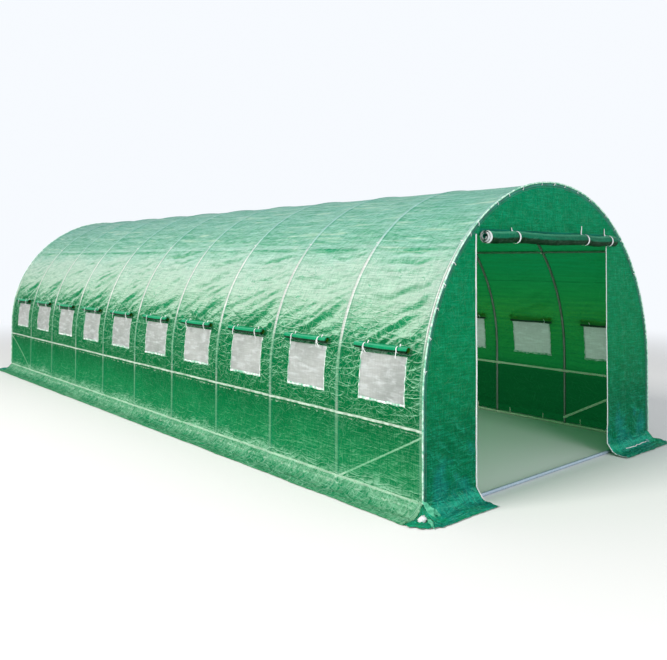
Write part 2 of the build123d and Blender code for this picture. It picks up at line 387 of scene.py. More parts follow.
# painted light: the rails, braces, pegs and bolts get a pale cream tone for the light they catch inside
lit_rail_steel = steel("galvanised rail with painted light", (0.96, 0.93, 0.78), (0.74, 0.71, 0.58), 0.1)
# painted shade: the purlins get a darker tone, as they are seen from below against the light
shaded_purlin_steel = steel("galvanised purlin in painted shade", (0.30, 0.32, 0.30), (0.16, 0.18, 0.16), 0.7)
rail_rows = {
    "left_ground_rail": (ground_rail_height, 0, -1),
    "right_ground_rail": (ground_rail_height, 0, 1),
    "left_side_rail": (side_rail_height, 0, -1),
    "right_side_rail": (side_rail_height, 0, 1),
    "left_purlin": (leg, purlin_angle, -1),
    "right_purlin": (leg, purlin_angle, 1),
    "ridge_purlin": (leg, 90, 1),
}
for node, (base, angle, side) in rail_rows.items():
    way_out = (side * math.cos(math.radians(angle)), 0, math.sin(math.radians(angle)))
    struts = [
        ((0, y, base), (0, y + bay, base), way_out, rail_line, (0, 0 if n == bays - 1 else 1))
        for n, y in enumerate(hoop_places[:-1])
    ]
    rail_piece = put_in_scene(node.replace("_", " ").title().replace(" ", "_"), strut_mesh(node, struts))
    rail_piece.data.materials.append(shaded_purlin_steel if "purlin" in node else lit_rail_steel)
    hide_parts(node)

# the braces rise from the ground rail at the first hoop in from each end to the side rail at the end hoop
brace_inner, brace_low, brace_high, brace_line = 3.2, 0.075, 0.492, 1.4637
half_length = bay * bays / 2
for side, word in ((-1, "left"), (1, "right")):
    struts = []
    for end in (-1, 1):
        foot, top = (0, end * brace_inner, brace_low), (0, end * half_length, brace_high)
        struts.append((foot, top, (side, 0, 0), brace_line, (0, 0)))
    brace_piece = put_in_scene(f"{word}_bracing", strut_mesh(f"{word} bracing", struts))
    brace_piece.data.materials.append(lit_rail_steel)
    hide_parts(f"{word}_braces")


# Ground bars: a 25 mm galvanised steel tube across each end, cut to fit between the feet of the end hoop
# and lying level with them.

bar_steel = steel("galvanised ground bar", (0.46, 0.56, 0.66), (0.32, 0.42, 0.52), 0.35)
bar_half = 1.4714
for word, place in (("front", hoop_places[0]), ("back", hoop_places[-1])):
    bar_line = [(x, place, tube_radius) for x in (-bar_half, 0, bar_half)]
    ground_bar = tubes(f"{word}_bar", [bar_line], tube_radius, 18, bar_steel)
    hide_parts(f"{word}_ground_bar")


# Side cover: one sheet of woven polyethylene on each side, from the ground flap over the hoops to the
# ridge. It bears on the hoops and rails, sags between them and creases where it is pulled.

sheet_line, sheet_outside, cover_foot = 1.5013, 1.5023, 0.09
leg_run = leg - cover_foot
purlin_run = leg_run + sheet_line * math.radians(purlin_angle)
ridge_run = leg_run + sheet_line * math.pi / 2
sheet_front = 4.0157
window_sill, window_head, window_half, window_aside = 0.67, 0.98, 0.215, 0.035
window_sill_run = window_sill - cover_foot
window_head_run = leg_run + sheet_line * math.asin((window_head - leg) / sheet_line)
side_rail_run = side_rail_height - cover_foot
window_places = [y + bay / 2 - window_aside for y in hoop_places[:-1]]


def spread(marks, step):
    """Sorted marks with evenly spaced values between them, no further apart than a step."""
    marks = sorted(set(round(m, 6) for m in marks))
    filled = [marks[0]]
    for a, b in zip(marks, marks[1:]):
        pieces = max(1, math.ceil((b - a) / step - 1e-6))
        filled += [a + (b - a) * (n + 1) / pieces for n in range(pieces)]
    return np.array(filled)


hoop_offsets = [0, 0.005, 0.010, 0.016, 0.024, 0.036]
column_step, row_step = 0.014, 0.0146
by_hoops = [y + side * off for y in hoop_places for off in hoop_offsets for side in (-1, 1)]
cover_columns = spread(
    [y for y in by_hoops if abs(y) < sheet_front]
    + [y + side * window_half for y in window_places for side in (-1, 1)]
    + [-sheet_front, sheet_front],
    column_step,
)
rail_offsets = [0, 0.006, 0.013, 0.022]
cover_rows = spread(
    [0, window_sill_run, window_head_run, leg_run, ridge_run]
    + [r + side * off for r in (side_rail_run, purlin_run) for off in rail_offsets for side in (-1, 1)]
    + [ridge_run - off for off in rail_offsets],
    row_step,
)


def rough(u, v, seed):
    """Smooth random height from about -1 to 1 over a plane of unit cells, the same in each run."""
    size = 128
    angle = np.random.default_rng(seed).uniform(0, 2 * np.pi, (size, size))
    i, j = np.floor(u).astype(int), np.floor(v).astype(int)
    fu, fv = u - i, v - j
    su, sv = fu * fu * fu * (fu * (6 * fu - 15) + 10), fv * fv * fv * (fv * (6 * fv - 15) + 10)

    def corner(a, b):
        turn = angle[(i + a) % size, (j + b) % size]
        return np.cos(turn) * (fu - a) + np.sin(turn) * (fv - b)

    low = corner(0, 0) * (1 - su) + corner(1, 0) * su
    high = corner(0, 1) * (1 - su) + corner(1, 1) * su
    return (low * (1 - sv) + high * sv) * 1.5


def creased(u, v, seed, turns=3):
    """Sharp crests where smooth heights cross zero, at smaller and smaller size. From 0 to about 1."""
    total, share = 0, 1.0
    for n in range(turns):
        total = total + share * (1 - np.abs(rough(u * 2**n, v * 2**n, seed + n)) * 2)
        share *= 0.5
    return total / 1.75


def fold(height, columns, rows, start, end, tall, wide, bow=0.0):
    """Press one fold into a height map: a crest along a bowed line, with a hollow on its lower side."""
    (y0, s0), (y1, s1) = start, end
    reach = 4 * wide + abs(bow)
    c0, c1 = np.searchsorted(columns, [min(y0, y1) - reach, max(y0, y1) + reach])
    r0, r1 = np.searchsorted(rows, [min(s0, s1) - reach, max(s0, s1) + reach])
    if c1 - c0 < 2 or r1 - r0 < 2:
        return
    y, s = np.meshgrid(columns[c0:c1], rows[r0:r1])
    y, s = y + 0.022 * rough(y / 0.13, s / 0.13, 977), s + 0.022 * rough(y / 0.13, s / 0.13, 978)
    run = math.hypot(y1 - y0, s1 - s0)
    uy, us = (y1 - y0) / run, (s1 - s0) / run
    along = ((y - y0) * uy + (s - s0) * us) / run
    across = -(y - y0) * us + (s - s0) * uy
    inside = np.clip(along, 0, 1)
    across = across - bow * 4 * inside * (1 - inside)
    taper = np.sin(np.pi * inside) ** 0.7 * ((along > 0) & (along < 1))
    crest = (
        np.clip(1 - np.abs(across) / wide, 0, 1)
        - 0.4 * np.clip(1 - np.abs(np.abs(across) - 1.7 * wide) / (1.2 * wide), 0, 1)
    )
    height[r0:r1, c0:c1] += tall * taper * crest


def side_height(columns, rows, seed):
    """How far one side of the cover stands off its line between the hoops, by place along and up the sheet."""
    y, s = np.meshgrid(columns, rows)
    share = np.mod((y - hoop_places[0]) / bay, 1.0)
    to_hoop = np.minimum(share, 1 - share) * bay
    sag_up = np.interp(
        s,
        [0, 0.2, side_rail_run - 0.03, side_rail_run, side_rail_run + 0.03, 0.75, 1.25, purlin_run - 0.05,
         purlin_run, purlin_run + 0.05, 2.3, ridge_run - 0.05, ridge_run],
        [0.003, 0.010, 0.008, 0.0052, 0.008, 0.010, 0.014, 0.011, 0.0052, 0.009, 0.011, 0.008, 0.0050],
    )
    height = -sag_up * (4 * share * (1 - share)) ** 0.8 - 0.0038 * (1 - np.exp(-((to_hoop / 0.020) ** 2)))
    slack = 1 - np.exp(-((to_hoop / 0.05) ** 2))
    for line in (side_rail_run, purlin_run, ridge_run):
        slack = slack * (1 - 0.8 * np.exp(-(((s - line) / 0.03) ** 2)))

    folds = np.zeros_like(height)
    draw = np.random.default_rng(seed)
    for n, hoop in enumerate(hoop_places[:-1]):
        # long folds that fan back and down from the hoop's purlin bolt
        for k in range(9):
            depth = draw.uniform(0.02, 0.55)
            begin, reach = draw.uniform(0.0, 0.20), draw.uniform(0.25, 0.70)
            top = purlin_run - depth * (1 + 0.9 * begin)
            low = purlin_run - depth * (1 + 0.9 * (begin + reach)) - draw.uniform(0.0, 0.10)
            fold(
                folds, columns, rows, (hoop + begin, top),
                (hoop + min(begin + reach, 0.8), max(low, window_head_run + 0.03)),
                draw.choice([-1.0, -1.0, 0.7]) * draw.uniform(0.004, 0.01), draw.uniform(0.018, 0.038),
                draw.uniform(-0.04, 0.02),
            )
        # a deep valley from the window roll's far tie up to the hoop, with a lesser one under it
        tie = window_places[n] + 0.15
        fold(
            folds, columns, rows, (tie, window_head_run + 0.03),
            (hoop + 0.04, window_head_run + draw.uniform(0.26, 0.38)), -0.017, 0.062, 0.02,
        )
        fold(
            folds, columns, rows, (tie - 0.1, window_head_run + 0.04),
            (hoop + 0.02, window_head_run + draw.uniform(0.12, 0.2)), -0.01, 0.034, 0.01,
        )
        # short folds that spread from both ties and from the hoop at the roll's height
        for from_y, from_s, lows, count in (
            (tie, window_head_run + 0.02, 0.1, 5), (tie - 0.3, window_head_run + 0.02, 0.1, 5),
            (hoop, window_head_run + 0.07, -0.9, 9),
        ):
            for k in range(count):
                turn = draw.uniform(lows, math.pi - lows)
                length = draw.uniform(0.07, 0.22)
                begin = draw.uniform(0.005, 0.03)
                ends = [
                    (from_y + r * math.cos(turn), from_s + r * math.sin(turn) * 0.75) for r in (begin, length)
                ]
                fold(
                    folds, columns, rows, *ends, draw.choice([-1.0, 1.0]) * draw.uniform(0.003, 0.007),
                    draw.uniform(0.014, 0.022), draw.uniform(-0.015, 0.015),
                )
        # slack lines on the roof and below the side rail
        for k in range(9):
            at, high = hoop + draw.uniform(0.02, 0.50), draw.uniform(purlin_run + 0.05, ridge_run - 0.06)
            fold(
                folds, columns, rows, (at, high),
                (at + draw.uniform(0.15, 0.5), high + draw.uniform(-0.06, 0.03)), draw.uniform(0.0008, 0.0024),
                draw.uniform(0.014, 0.024), draw.uniform(-0.02, 0.02),
            )
        for k in range(7):
            at, low = hoop + draw.uniform(0.0, 0.6), draw.uniform(0.05, side_rail_run - 0.05)
            fold(
                folds, columns, rows, (at, low),
                (at + draw.uniform(-0.25, 0.25), low + draw.uniform(-0.12, 0.12)), draw.uniform(0.0006, 0.0016),
                draw.uniform(0.014, 0.02), draw.uniform(-0.02, 0.02),
            )
    # the cover hangs over the purlin in a wavy tuck
    for below, tall, wide, key in (
        (0.028, -0.0045, 0.02, 0), (0.002, 0.003, 0.018, 1), (-0.04, -0.002, 0.018, 2),
    ):
        line = purlin_run - below + 0.014 * rough(y / 0.17, y * 0 + key, seed + 70)
        amount = np.clip(0.75 + 1.1 * rough(y / 0.11, y * 0 + key, seed + 74), 0, 1.6)
        folds += tall * amount * np.clip(1 - np.abs(s - line) / wide, 0, 1)

    along, depth = fan_places(y, s)
    bend = rough(y / 0.22, s / 0.2, seed + 40) * 0.5
    fan = creased(depth / 0.13 + 0.8 * bend, along * 0.9, seed + 30, 2) - 0.5
    crumple = creased(y / 0.11 + bend, s / 0.075 - bend, seed + 50, 2) - 0.5
    fans, busy = fold_amounts(s)
    return height, slack * (folds + 0.0035 * fans * fan + 0.0016 * busy * crumple)


def fan_places(y, s):
    """Along and across the folds that fan down from each hoop's purlin bolt, over places on the cloth."""
    number = np.floor((y - hoop_places[0]) / bay)
    local = y - hoop_places[0] - bay * number
    return local / 0.55 + 7.3 * number, (purlin_run - s) / (1 + 1.1 * local)


def fold_amounts(s):
    """How strongly the cloth is folded in fans, and how crumpled it is, by how far up it a place is."""
    fans = np.interp(
        s,
        [window_head_run, window_head_run + 0.10, purlin_run - 0.10, purlin_run, purlin_run + 0.10, ridge_run],
        [0.1, 1.0, 0.9, 0.45, 0.35, 0.15],
    )
    busy = np.interp(
        s,
        [
            0, 0.1, 0.3, side_rail_run, window_sill_run, window_head_run, window_head_run + 0.18,
            window_head_run + 0.4, purlin_run - 0.05, purlin_run, purlin_run + 0.06, ridge_run,
        ],
        [1.3, 0.5, 0.25, 0.4, 1.1, 1.5, 1.0, 0.22, 0.35, 0.7, 0.45, 0.35],
    )
    return fans, busy


def swell(share):
    """0 at both ends of a share from 0 to 1, rising fast to 1 in the middle."""
    return np.sqrt(np.clip(np.sin(np.pi * np.clip(share, 0, 1)), 0, 1))


def unit(vectors):
    return vectors / np.maximum(np.linalg.norm(vectors, axis=-1, keepdims=True), 1e-12)


def grid_normals(points):
    """Normals over a grid of points, across rows then columns."""
    return unit(np.cross(np.gradient(points, axis=1), np.gradient(points, axis=0)))


def woven_sheet(name, patches, material):
    """A sheet from grids of points. A patch is its points, their normals and their places on the flat cloth.

    It may also have marks, which are a point's place along and across the folds and how strong the folds and
    the crumples are there, and the cells that are shown.
    """
    corners, normals, cloth, marks, faces = [], [], [], [], []
    first = 0
    for points, normal, flat, *more in patches:
        mark, shown = (*more, None, None)[:2]
        rows, columns = points.shape[:2]
        index = first + np.arange(rows * columns).reshape(rows, columns)
        quads = np.stack([index[:-1, :-1], index[:-1, 1:], index[1:, 1:], index[1:, :-1]], axis=-1)
        quads = quads[shown] if shown is not None else quads.reshape(-1, 4)
        if mark is None:
            mark = np.dstack([flat, np.zeros_like(flat)])
        corners.append(points.reshape(-1, 3))
        normals.append(normal.reshape(-1, 3))
        cloth.append(flat.reshape(-1, 2))
        marks.append(mark.reshape(-1, 4))
        a, b, c = (corners[-1][quads[:, k] - first] for k in (0, 1, 2))
        if (np.cross(b - a, c - a) * normals[-1][quads[:, 0] - first]).sum() < 0:
            quads = quads[:, ::-1]
        faces.append(quads)
        first += rows * columns
    corners, normals, cloth, marks, faces = (np.concatenate(x) for x in (corners, normals, cloth, marks, faces))
    used = np.zeros(len(corners), bool)
    used[faces.reshape(-1)] = True
    renumber = np.cumsum(used) - 1
    corners, normals, cloth, marks, faces = (
        corners[used], normals[used], cloth[used], marks[used], renumber[faces],
    )
    mesh = bpy.data.meshes.new(name)
    mesh.vertices.add(len(corners))
    mesh.vertices.foreach_set("co", corners.astype(np.float32).ravel())
    mesh.loops.add(faces.size)
    mesh.loops.foreach_set("vertex_index", faces.astype(np.int32).ravel())
    mesh.polygons.add(len(faces))
    mesh.polygons.foreach_set("loop_start", np.arange(0, faces.size, 4, dtype=np.int32))
    mesh.polygons.foreach_set("use_smooth", np.ones(len(faces), bool))
    mesh.update(calc_edges=True)
    layer = mesh.uv_layers.new(name="cloth")
    layer.data.foreach_set("uv", cloth[faces.ravel()].astype(np.float32).ravel())
    crumpled = mesh.attributes.new("crumple", "FLOAT", "POINT")
    crumpled.data.foreach_set("value", marks[:, 3].astype(np.float32))
    pulled = mesh.attributes.new("pull", "FLOAT_VECTOR", "POINT")
    pulled.data.foreach_set("vector", marks[:, :3].astype(np.float32).ravel())
    mesh.normals_split_custom_set_from_vertices(normals.astype(np.float32))
    mesh.validate()
    mesh.materials.append(material)
    return put_in_scene(name, mesh)


def side_points(columns, rows, height, side):
    """The points of one side of the cover."""
    y, s = np.meshgrid(columns, rows)
    angle = np.maximum(0, s - leg_run) / sheet_line
    out = sheet_line + height
    x = side * out * np.cos(angle)
    z = np.where(s < leg_run, cover_foot + s, leg + out * np.sin(angle))
    return np.stack([x, y, z], axis=-1)


def object_place(tree):
    """A point's place on the object, whole and as its X, Y and Z."""
    place = put(tree, "ShaderNodeTexCoord").outputs["Object"]
    return place, put(tree, "ShaderNodeSeparateXYZ", {0: place}).outputs


def on_cloth(tree):
    """A point's place on the flat cloth."""
    return put(tree, "ShaderNodeUVMap", uv_map="cloth").outputs[0]


def stretched(tree, place, stretch, degrees=0):
    """A pattern's space, turned and then stretched. A larger stretch gives a finer pattern."""
    sockets = {"Vector": place, "Rotation": (0, 0, math.radians(degrees)), "Scale": stretch}
    return put(tree, "ShaderNodeMapping", sockets).outputs[0]


# Woven polyethylene, as a group: tapes woven over and under, streaks of thicker tape, and the white
# hair lines that stay where the film was folded.
weave = bpy.data.node_groups.new("woven film", "ShaderNodeTree")
for label in ("Tape", "Line Size"):
    weave.interface.new_socket(label, in_out="INPUT", socket_type="NodeSocketFloat")
for label in ("Weave", "Streak", "Hair Lines", "Cloud"):
    weave.interface.new_socket(label, in_out="OUTPUT", socket_type="NodeSocketFloat")
weave_in, weave_out = put(weave, "NodeGroupInput"), put(weave, "NodeGroupOutput")
cloth_place = on_cloth(weave)
tape_turns = maths(weave, "DIVIDE", math.pi, weave_in.outputs["Tape"])
tape_space = scaled(weave, cloth_place, tape_turns)
tape_axes = put(weave, "ShaderNodeSeparateXYZ", {0: tape_space}).outputs
tape_waves = [maths(weave, "SINE", tape_axes[n]) for n in (0, 1)]
over_under = maths(weave, "MULTIPLY", *tape_waves)
weave_flat = remap(weave, over_under, -1.0, 1.0)
weave.links.new(weave_flat, weave_out.inputs["Weave"])
streak_sum = None
for stretch, weight in (((7.0, 95.0, 1.0), 0.40), ((110.0, 9.0, 1.0), 0.30), ((34.0, 300.0, 1.0), 0.30)):
    pulled = stretched(weave, cloth_place, stretch)
    streak = noise(weave, pulled, 1.0, 2.0)
    streak_part = maths(weave, "MULTIPLY", streak.outputs["Fac"], weight)
    streak_sum = streak_part if streak_sum is None else maths(weave, "ADD", streak_sum, streak_part)
streak_out = remap(weave, streak_sum, 0.41, 0.59)
weave.links.new(streak_out, weave_out.inputs["Streak"])
hair_scale = maths(weave, "DIVIDE", 0.11, weave_in.outputs["Line Size"])
hair_space = scaled(weave, cloth_place, hair_scale)
hair_warp = noise(weave, hair_space, 9.0, 2.0)
hair_shift = scaled(weave, hair_warp.outputs["Color"], 0.035)
hair_bent = vectors(weave, "ADD", hair_space, hair_shift)
hair_sum = None
for degrees, thin_by, shift in (
    (24, 1.0, 0.0), (-38, 1.2, 3.1), (63, 0.9, 6.7), (-71, 1.1, 9.4), (4, 1.3, 12.9),
):
    turned = put(
        weave, "ShaderNodeMapping",
        {
            "Vector": hair_bent, "Location": (shift, shift, 0), "Rotation": (0, 0, math.radians(degrees)),
            "Scale": (0.16, 0.0075 / thin_by, 1.0),
        },
        vector_type="TEXTURE",
    )
    scratch = noise(weave, turned.outputs[0], 1.0, 1.0)
    line = remap(weave, scratch.outputs["Fac"], 0.64, 0.74)
    hair_sum = line if hair_sum is None else maths(weave, "MAXIMUM", hair_sum, line)
weave.links.new(hair_sum, weave_out.inputs["Hair Lines"])
cloud = noise(weave, cloth_place, 2.4, 4.0)
weave.links.new(cloud.outputs["Fac"], weave_out.inputs["Cloud"])

# Creasing, as a group: its height in metres, from sharp folds that follow the cloth's own pull and from
# facets and thin ridges where it is crumpled.
creasing = bpy.data.node_groups.new("creasing", "ShaderNodeTree")
for label in ("Height", "Crumple"):
    creasing.interface.new_socket(label, in_out="OUTPUT", socket_type="NodeSocketFloat")
creasing_out = put(creasing, "NodeGroupOutput")
pull_mark = put(creasing, "ShaderNodeAttribute", attribute_name="pull", attribute_type="GEOMETRY")
crumple_mark = put(creasing, "ShaderNodeAttribute", attribute_name="crumple", attribute_type="GEOMETRY")
pull_axes = put(creasing, "ShaderNodeSeparateXYZ", {0: pull_mark.outputs["Vector"]}).outputs
creased_place = on_cloth(creasing)
sway = noise(creasing, creased_place, 4.5, 3.0)
fold_stretch = vectors(creasing, "MULTIPLY", pull_mark.outputs["Vector"], (1.2, 12.0, 0.0))
fold_sway = vectors(creasing, "MULTIPLY", sway.outputs["Color"], (0.9, 1.7, 0.0))
fold_space = vectors(creasing, "ADD", fold_stretch, fold_sway)
sway_shift = scaled(creasing, sway.outputs["Color"], 0.09)
facet_place = vectors(creasing, "ADD", creased_place, sway_shift)
crease_total = 0.0
for space, size, strength, tall in (
    (fold_space, 1.0, pull_axes[2], 0.0085),
    (fold_space, 2.7, pull_axes[2], 0.0011),
    (facet_place, 12.0, crumple_mark.outputs["Fac"], 0.0060),
    (facet_place, 29.0, crumple_mark.outputs["Fac"], 0.0026),
):
    facet = put(creasing, "ShaderNodeTexVoronoi", {"Vector": space, "Scale": size}, voronoi_dimensions="2D")
    sized = maths(creasing, "MULTIPLY", facet.outputs["Distance"], tall)
    crease_total = maths(creasing, "MULTIPLY_ADD", sized, strength, crease_total)
for size, degrees in ((8.0, 20), (13.0, 75)):
    turned = stretched(creasing, facet_place, (size * 0.55, size * 1.5, 1.0), degrees)
    edge = put(
        creasing, "ShaderNodeTexVoronoi", {"Vector": turned, "Scale": 1.0},
        voronoi_dimensions="2D", feature="DISTANCE_TO_EDGE",
    )
    ridge = remap(creasing, edge.outputs["Distance"], 0.0, 0.09, 0.0016, 0.0)
    crease_total = maths(creasing, "MULTIPLY_ADD", ridge, crumple_mark.outputs["Fac"], crease_total)
creasing.links.new(crease_total, creasing_out.inputs["Height"])
creasing.links.new(crumple_mark.outputs["Fac"], creasing_out.inputs["Crumple"])


def mask_near(tree, value, at, wide):
    """1 where a value is near another, falling to 0 over a width."""
    away = maths(tree, "SUBTRACT", value, at)
    gap = maths(tree, "ABSOLUTE", away)
    return remap(tree, gap, wide, wide * 0.55, smooth=True)


tape_width, tunnel_height = 0.0032, 2.2
# seen from within, the cloth is lit through: deep below the side rail, yellowish by the windows, bluer above
inside_stops = [
    (0.0, (0.001, 0.03, 0.006)), (0.22, (0.001, 0.03, 0.006)), (0.26, (0.016, 0.12, 0.012)),
    (0.36, (0.034, 0.165, 0.011)), (0.5, (0.078, 0.235, 0.01)), (0.58, (0.02, 0.205, 0.036)),
    (0.7, (0.001, 0.185, 0.1)), (1.0, (0.001, 0.18, 0.14)),
]


def ramp_colour(tree, share, stops):
    """A colour, or a grey level, that changes along a share from 0 to 1."""
    ramp = put(tree, "ShaderNodeValToRGB", {0: share})
    while len(ramp.color_ramp.elements) < len(stops):
        ramp.color_ramp.elements.new(0.5)
    for element, (position, colour) in zip(ramp.color_ramp.elements, stops):
        level = colour if isinstance(colour, tuple) else (colour, colour, colour)
        element.position, element.color = position, (*level, 1)
    return ramp.outputs[0]


def add_up(tree, *parts):
    """A sum of a value and of other values, each with its weight."""
    total = parts[0]
    for value, weight in parts[1:]:
        total = maths(tree, "MULTIPLY_ADD", value, weight, total)
    return total


def film_material(
    name, colour_of, line_size=0.11, hair=0.55, thin=0.35, roughness=0.42, shine=0.006, glow=(0.01, 0.40, 0.09)
):
    """Woven film that some light passes through. colour_of gives its colour from its tree, weave and normal."""
    material, out = new_material(name)
    tree = material.node_tree
    film = put(tree, "ShaderNodeGroup", node_tree=weave)
    film.inputs["Tape"].default_value, film.inputs["Line Size"].default_value = tape_width, line_size
    folds = put(tree, "ShaderNodeGroup", node_tree=creasing)
    crinkle = bump(tree, folds.outputs["Height"], 1.0, 1.0)
    colour = colour_of(tree, film, crinkle)
    hair_places = remap(tree, folds.outputs["Crumple"], 0.0, 1.2, hair * 0.5, hair * 1.4)
    hair_share = maths(tree, "MULTIPLY", film.outputs["Hair Lines"], hair_places, clamp=True)
    axes = object_place(tree)[1]
    share_up = remap(tree, axes[2], 0.0, tunnel_height)
    # the wall below the side rail hangs smoother than the rest
    hair_up = ramp_colour(
        tree, share_up,
        [
            (0.0, 1.0), (0.045, 1.0), (0.065, 0.35), (0.215, 0.4), (0.25, 0.8), (0.42, 0.8), (0.47, 1.0),
            (1.0, 1.0),
        ],
    )
    hair_share = maths(tree, "MULTIPLY", hair_share, hair_up)
    lined = blend_colour(tree, hair_share, colour, (0.40, 0.82, 0.56))
    within = ramp_colour(tree, share_up, inside_stops)
    cloth_uv = on_cloth(tree)
    long_tapes = stretched(tree, cloth_uv, (2.2, 42.0, 1.0))
    ribbed = noise(tree, long_tapes, 1.0, 3.0)
    within_tone = remap(tree, ribbed.outputs["Fac"], 0.34, 0.66, 0.62, 1.38)
    within = scaled(tree, within, within_tone)
    within_share = maths(tree, "MULTIPLY", film.outputs["Hair Lines"], 0.12)
    within = blend_colour(tree, within_share, within, (0.20, 0.55, 0.30))
    # a fine dark line runs along each side a third of the way up the arch, seen from within
    inner_line = mask_near(tree, add_up(tree, axes[2], (ribbed.outputs["Fac"], 0.03)), 1.420, 0.0065)
    beside = maths(tree, "ABSOLUTE", axes[0])
    on_side = maths(tree, "GREATER_THAN", beside, 1.3)
    inner_line = maths(tree, "MULTIPLY", inner_line, on_side)
    within = blend_colour(tree, inner_line, within, (0.001, 0.040, 0.016))
    back = put(tree, "ShaderNodeNewGeometry")
    lined = blend_colour(tree, back.outputs["Backfacing"], lined, within)
    crossing = bump(tree, film.outputs["Weave"], 0.25, 0.0006, Normal=crinkle)
    drawn = bump(tree, film.outputs["Streak"], 0.5, 0.0012, Normal=crossing)
    gloss = remap(tree, film.outputs["Cloud"], 0.3, 0.7, roughness - 0.08, roughness + 0.08)
    front = put(
        tree, "ShaderNodeBsdfPrincipled",
        {"Base Color": lined, "Roughness": gloss, "Normal": drawn, "Specular IOR Level": shine},
    )
    # painted shade: less light is let through below the side rail, so the lower wall is darker seen from within
    dim_glow = tuple(level * 0.55 for level in glow)
    glow_up = ramp_colour(tree, share_up, [(0.0, dim_glow), (0.22, dim_glow), (0.27, glow), (1.0, glow)])
    through = put(tree, "ShaderNodeBsdfTranslucent", {"Color": glow_up, "Normal": crossing})
    blend_shaders(tree, thin, front, through, out)
    return material


def tilt_up(tree, axes, normal):
    """How far the folds tilt a side's surface up or down from the arch, and a little for back or front."""
    arch_z = maths(tree, "SUBTRACT", axes[2], leg)
    arch_z = maths(tree, "MAXIMUM", arch_z, 0.0)
    arch = put(tree, "ShaderNodeCombineXYZ", {0: axes[0], 2: arch_z})
    outward = vectors(tree, "NORMALIZE", arch.outputs[0])
    uphill = vectors(tree, "CROSS_PRODUCT", outward, (0, 1, 0))
    side = maths(tree, "SIGN", axes[0])
    slope = put(tree, "ShaderNodeVectorMath", {0: normal, 1: uphill}, operation="DOT_PRODUCT")
    slope = maths(tree, "MULTIPLY", slope.outputs["Value"], side)
    facing = put(tree, "ShaderNodeSeparateXYZ", {0: normal}).outputs
    wall = remap(tree, axes[2], 0.085, 0.095)
    slope = maths(tree, "MULTIPLY", slope, wall)
    return add_up(tree, slope, (facing[1], 0.45))


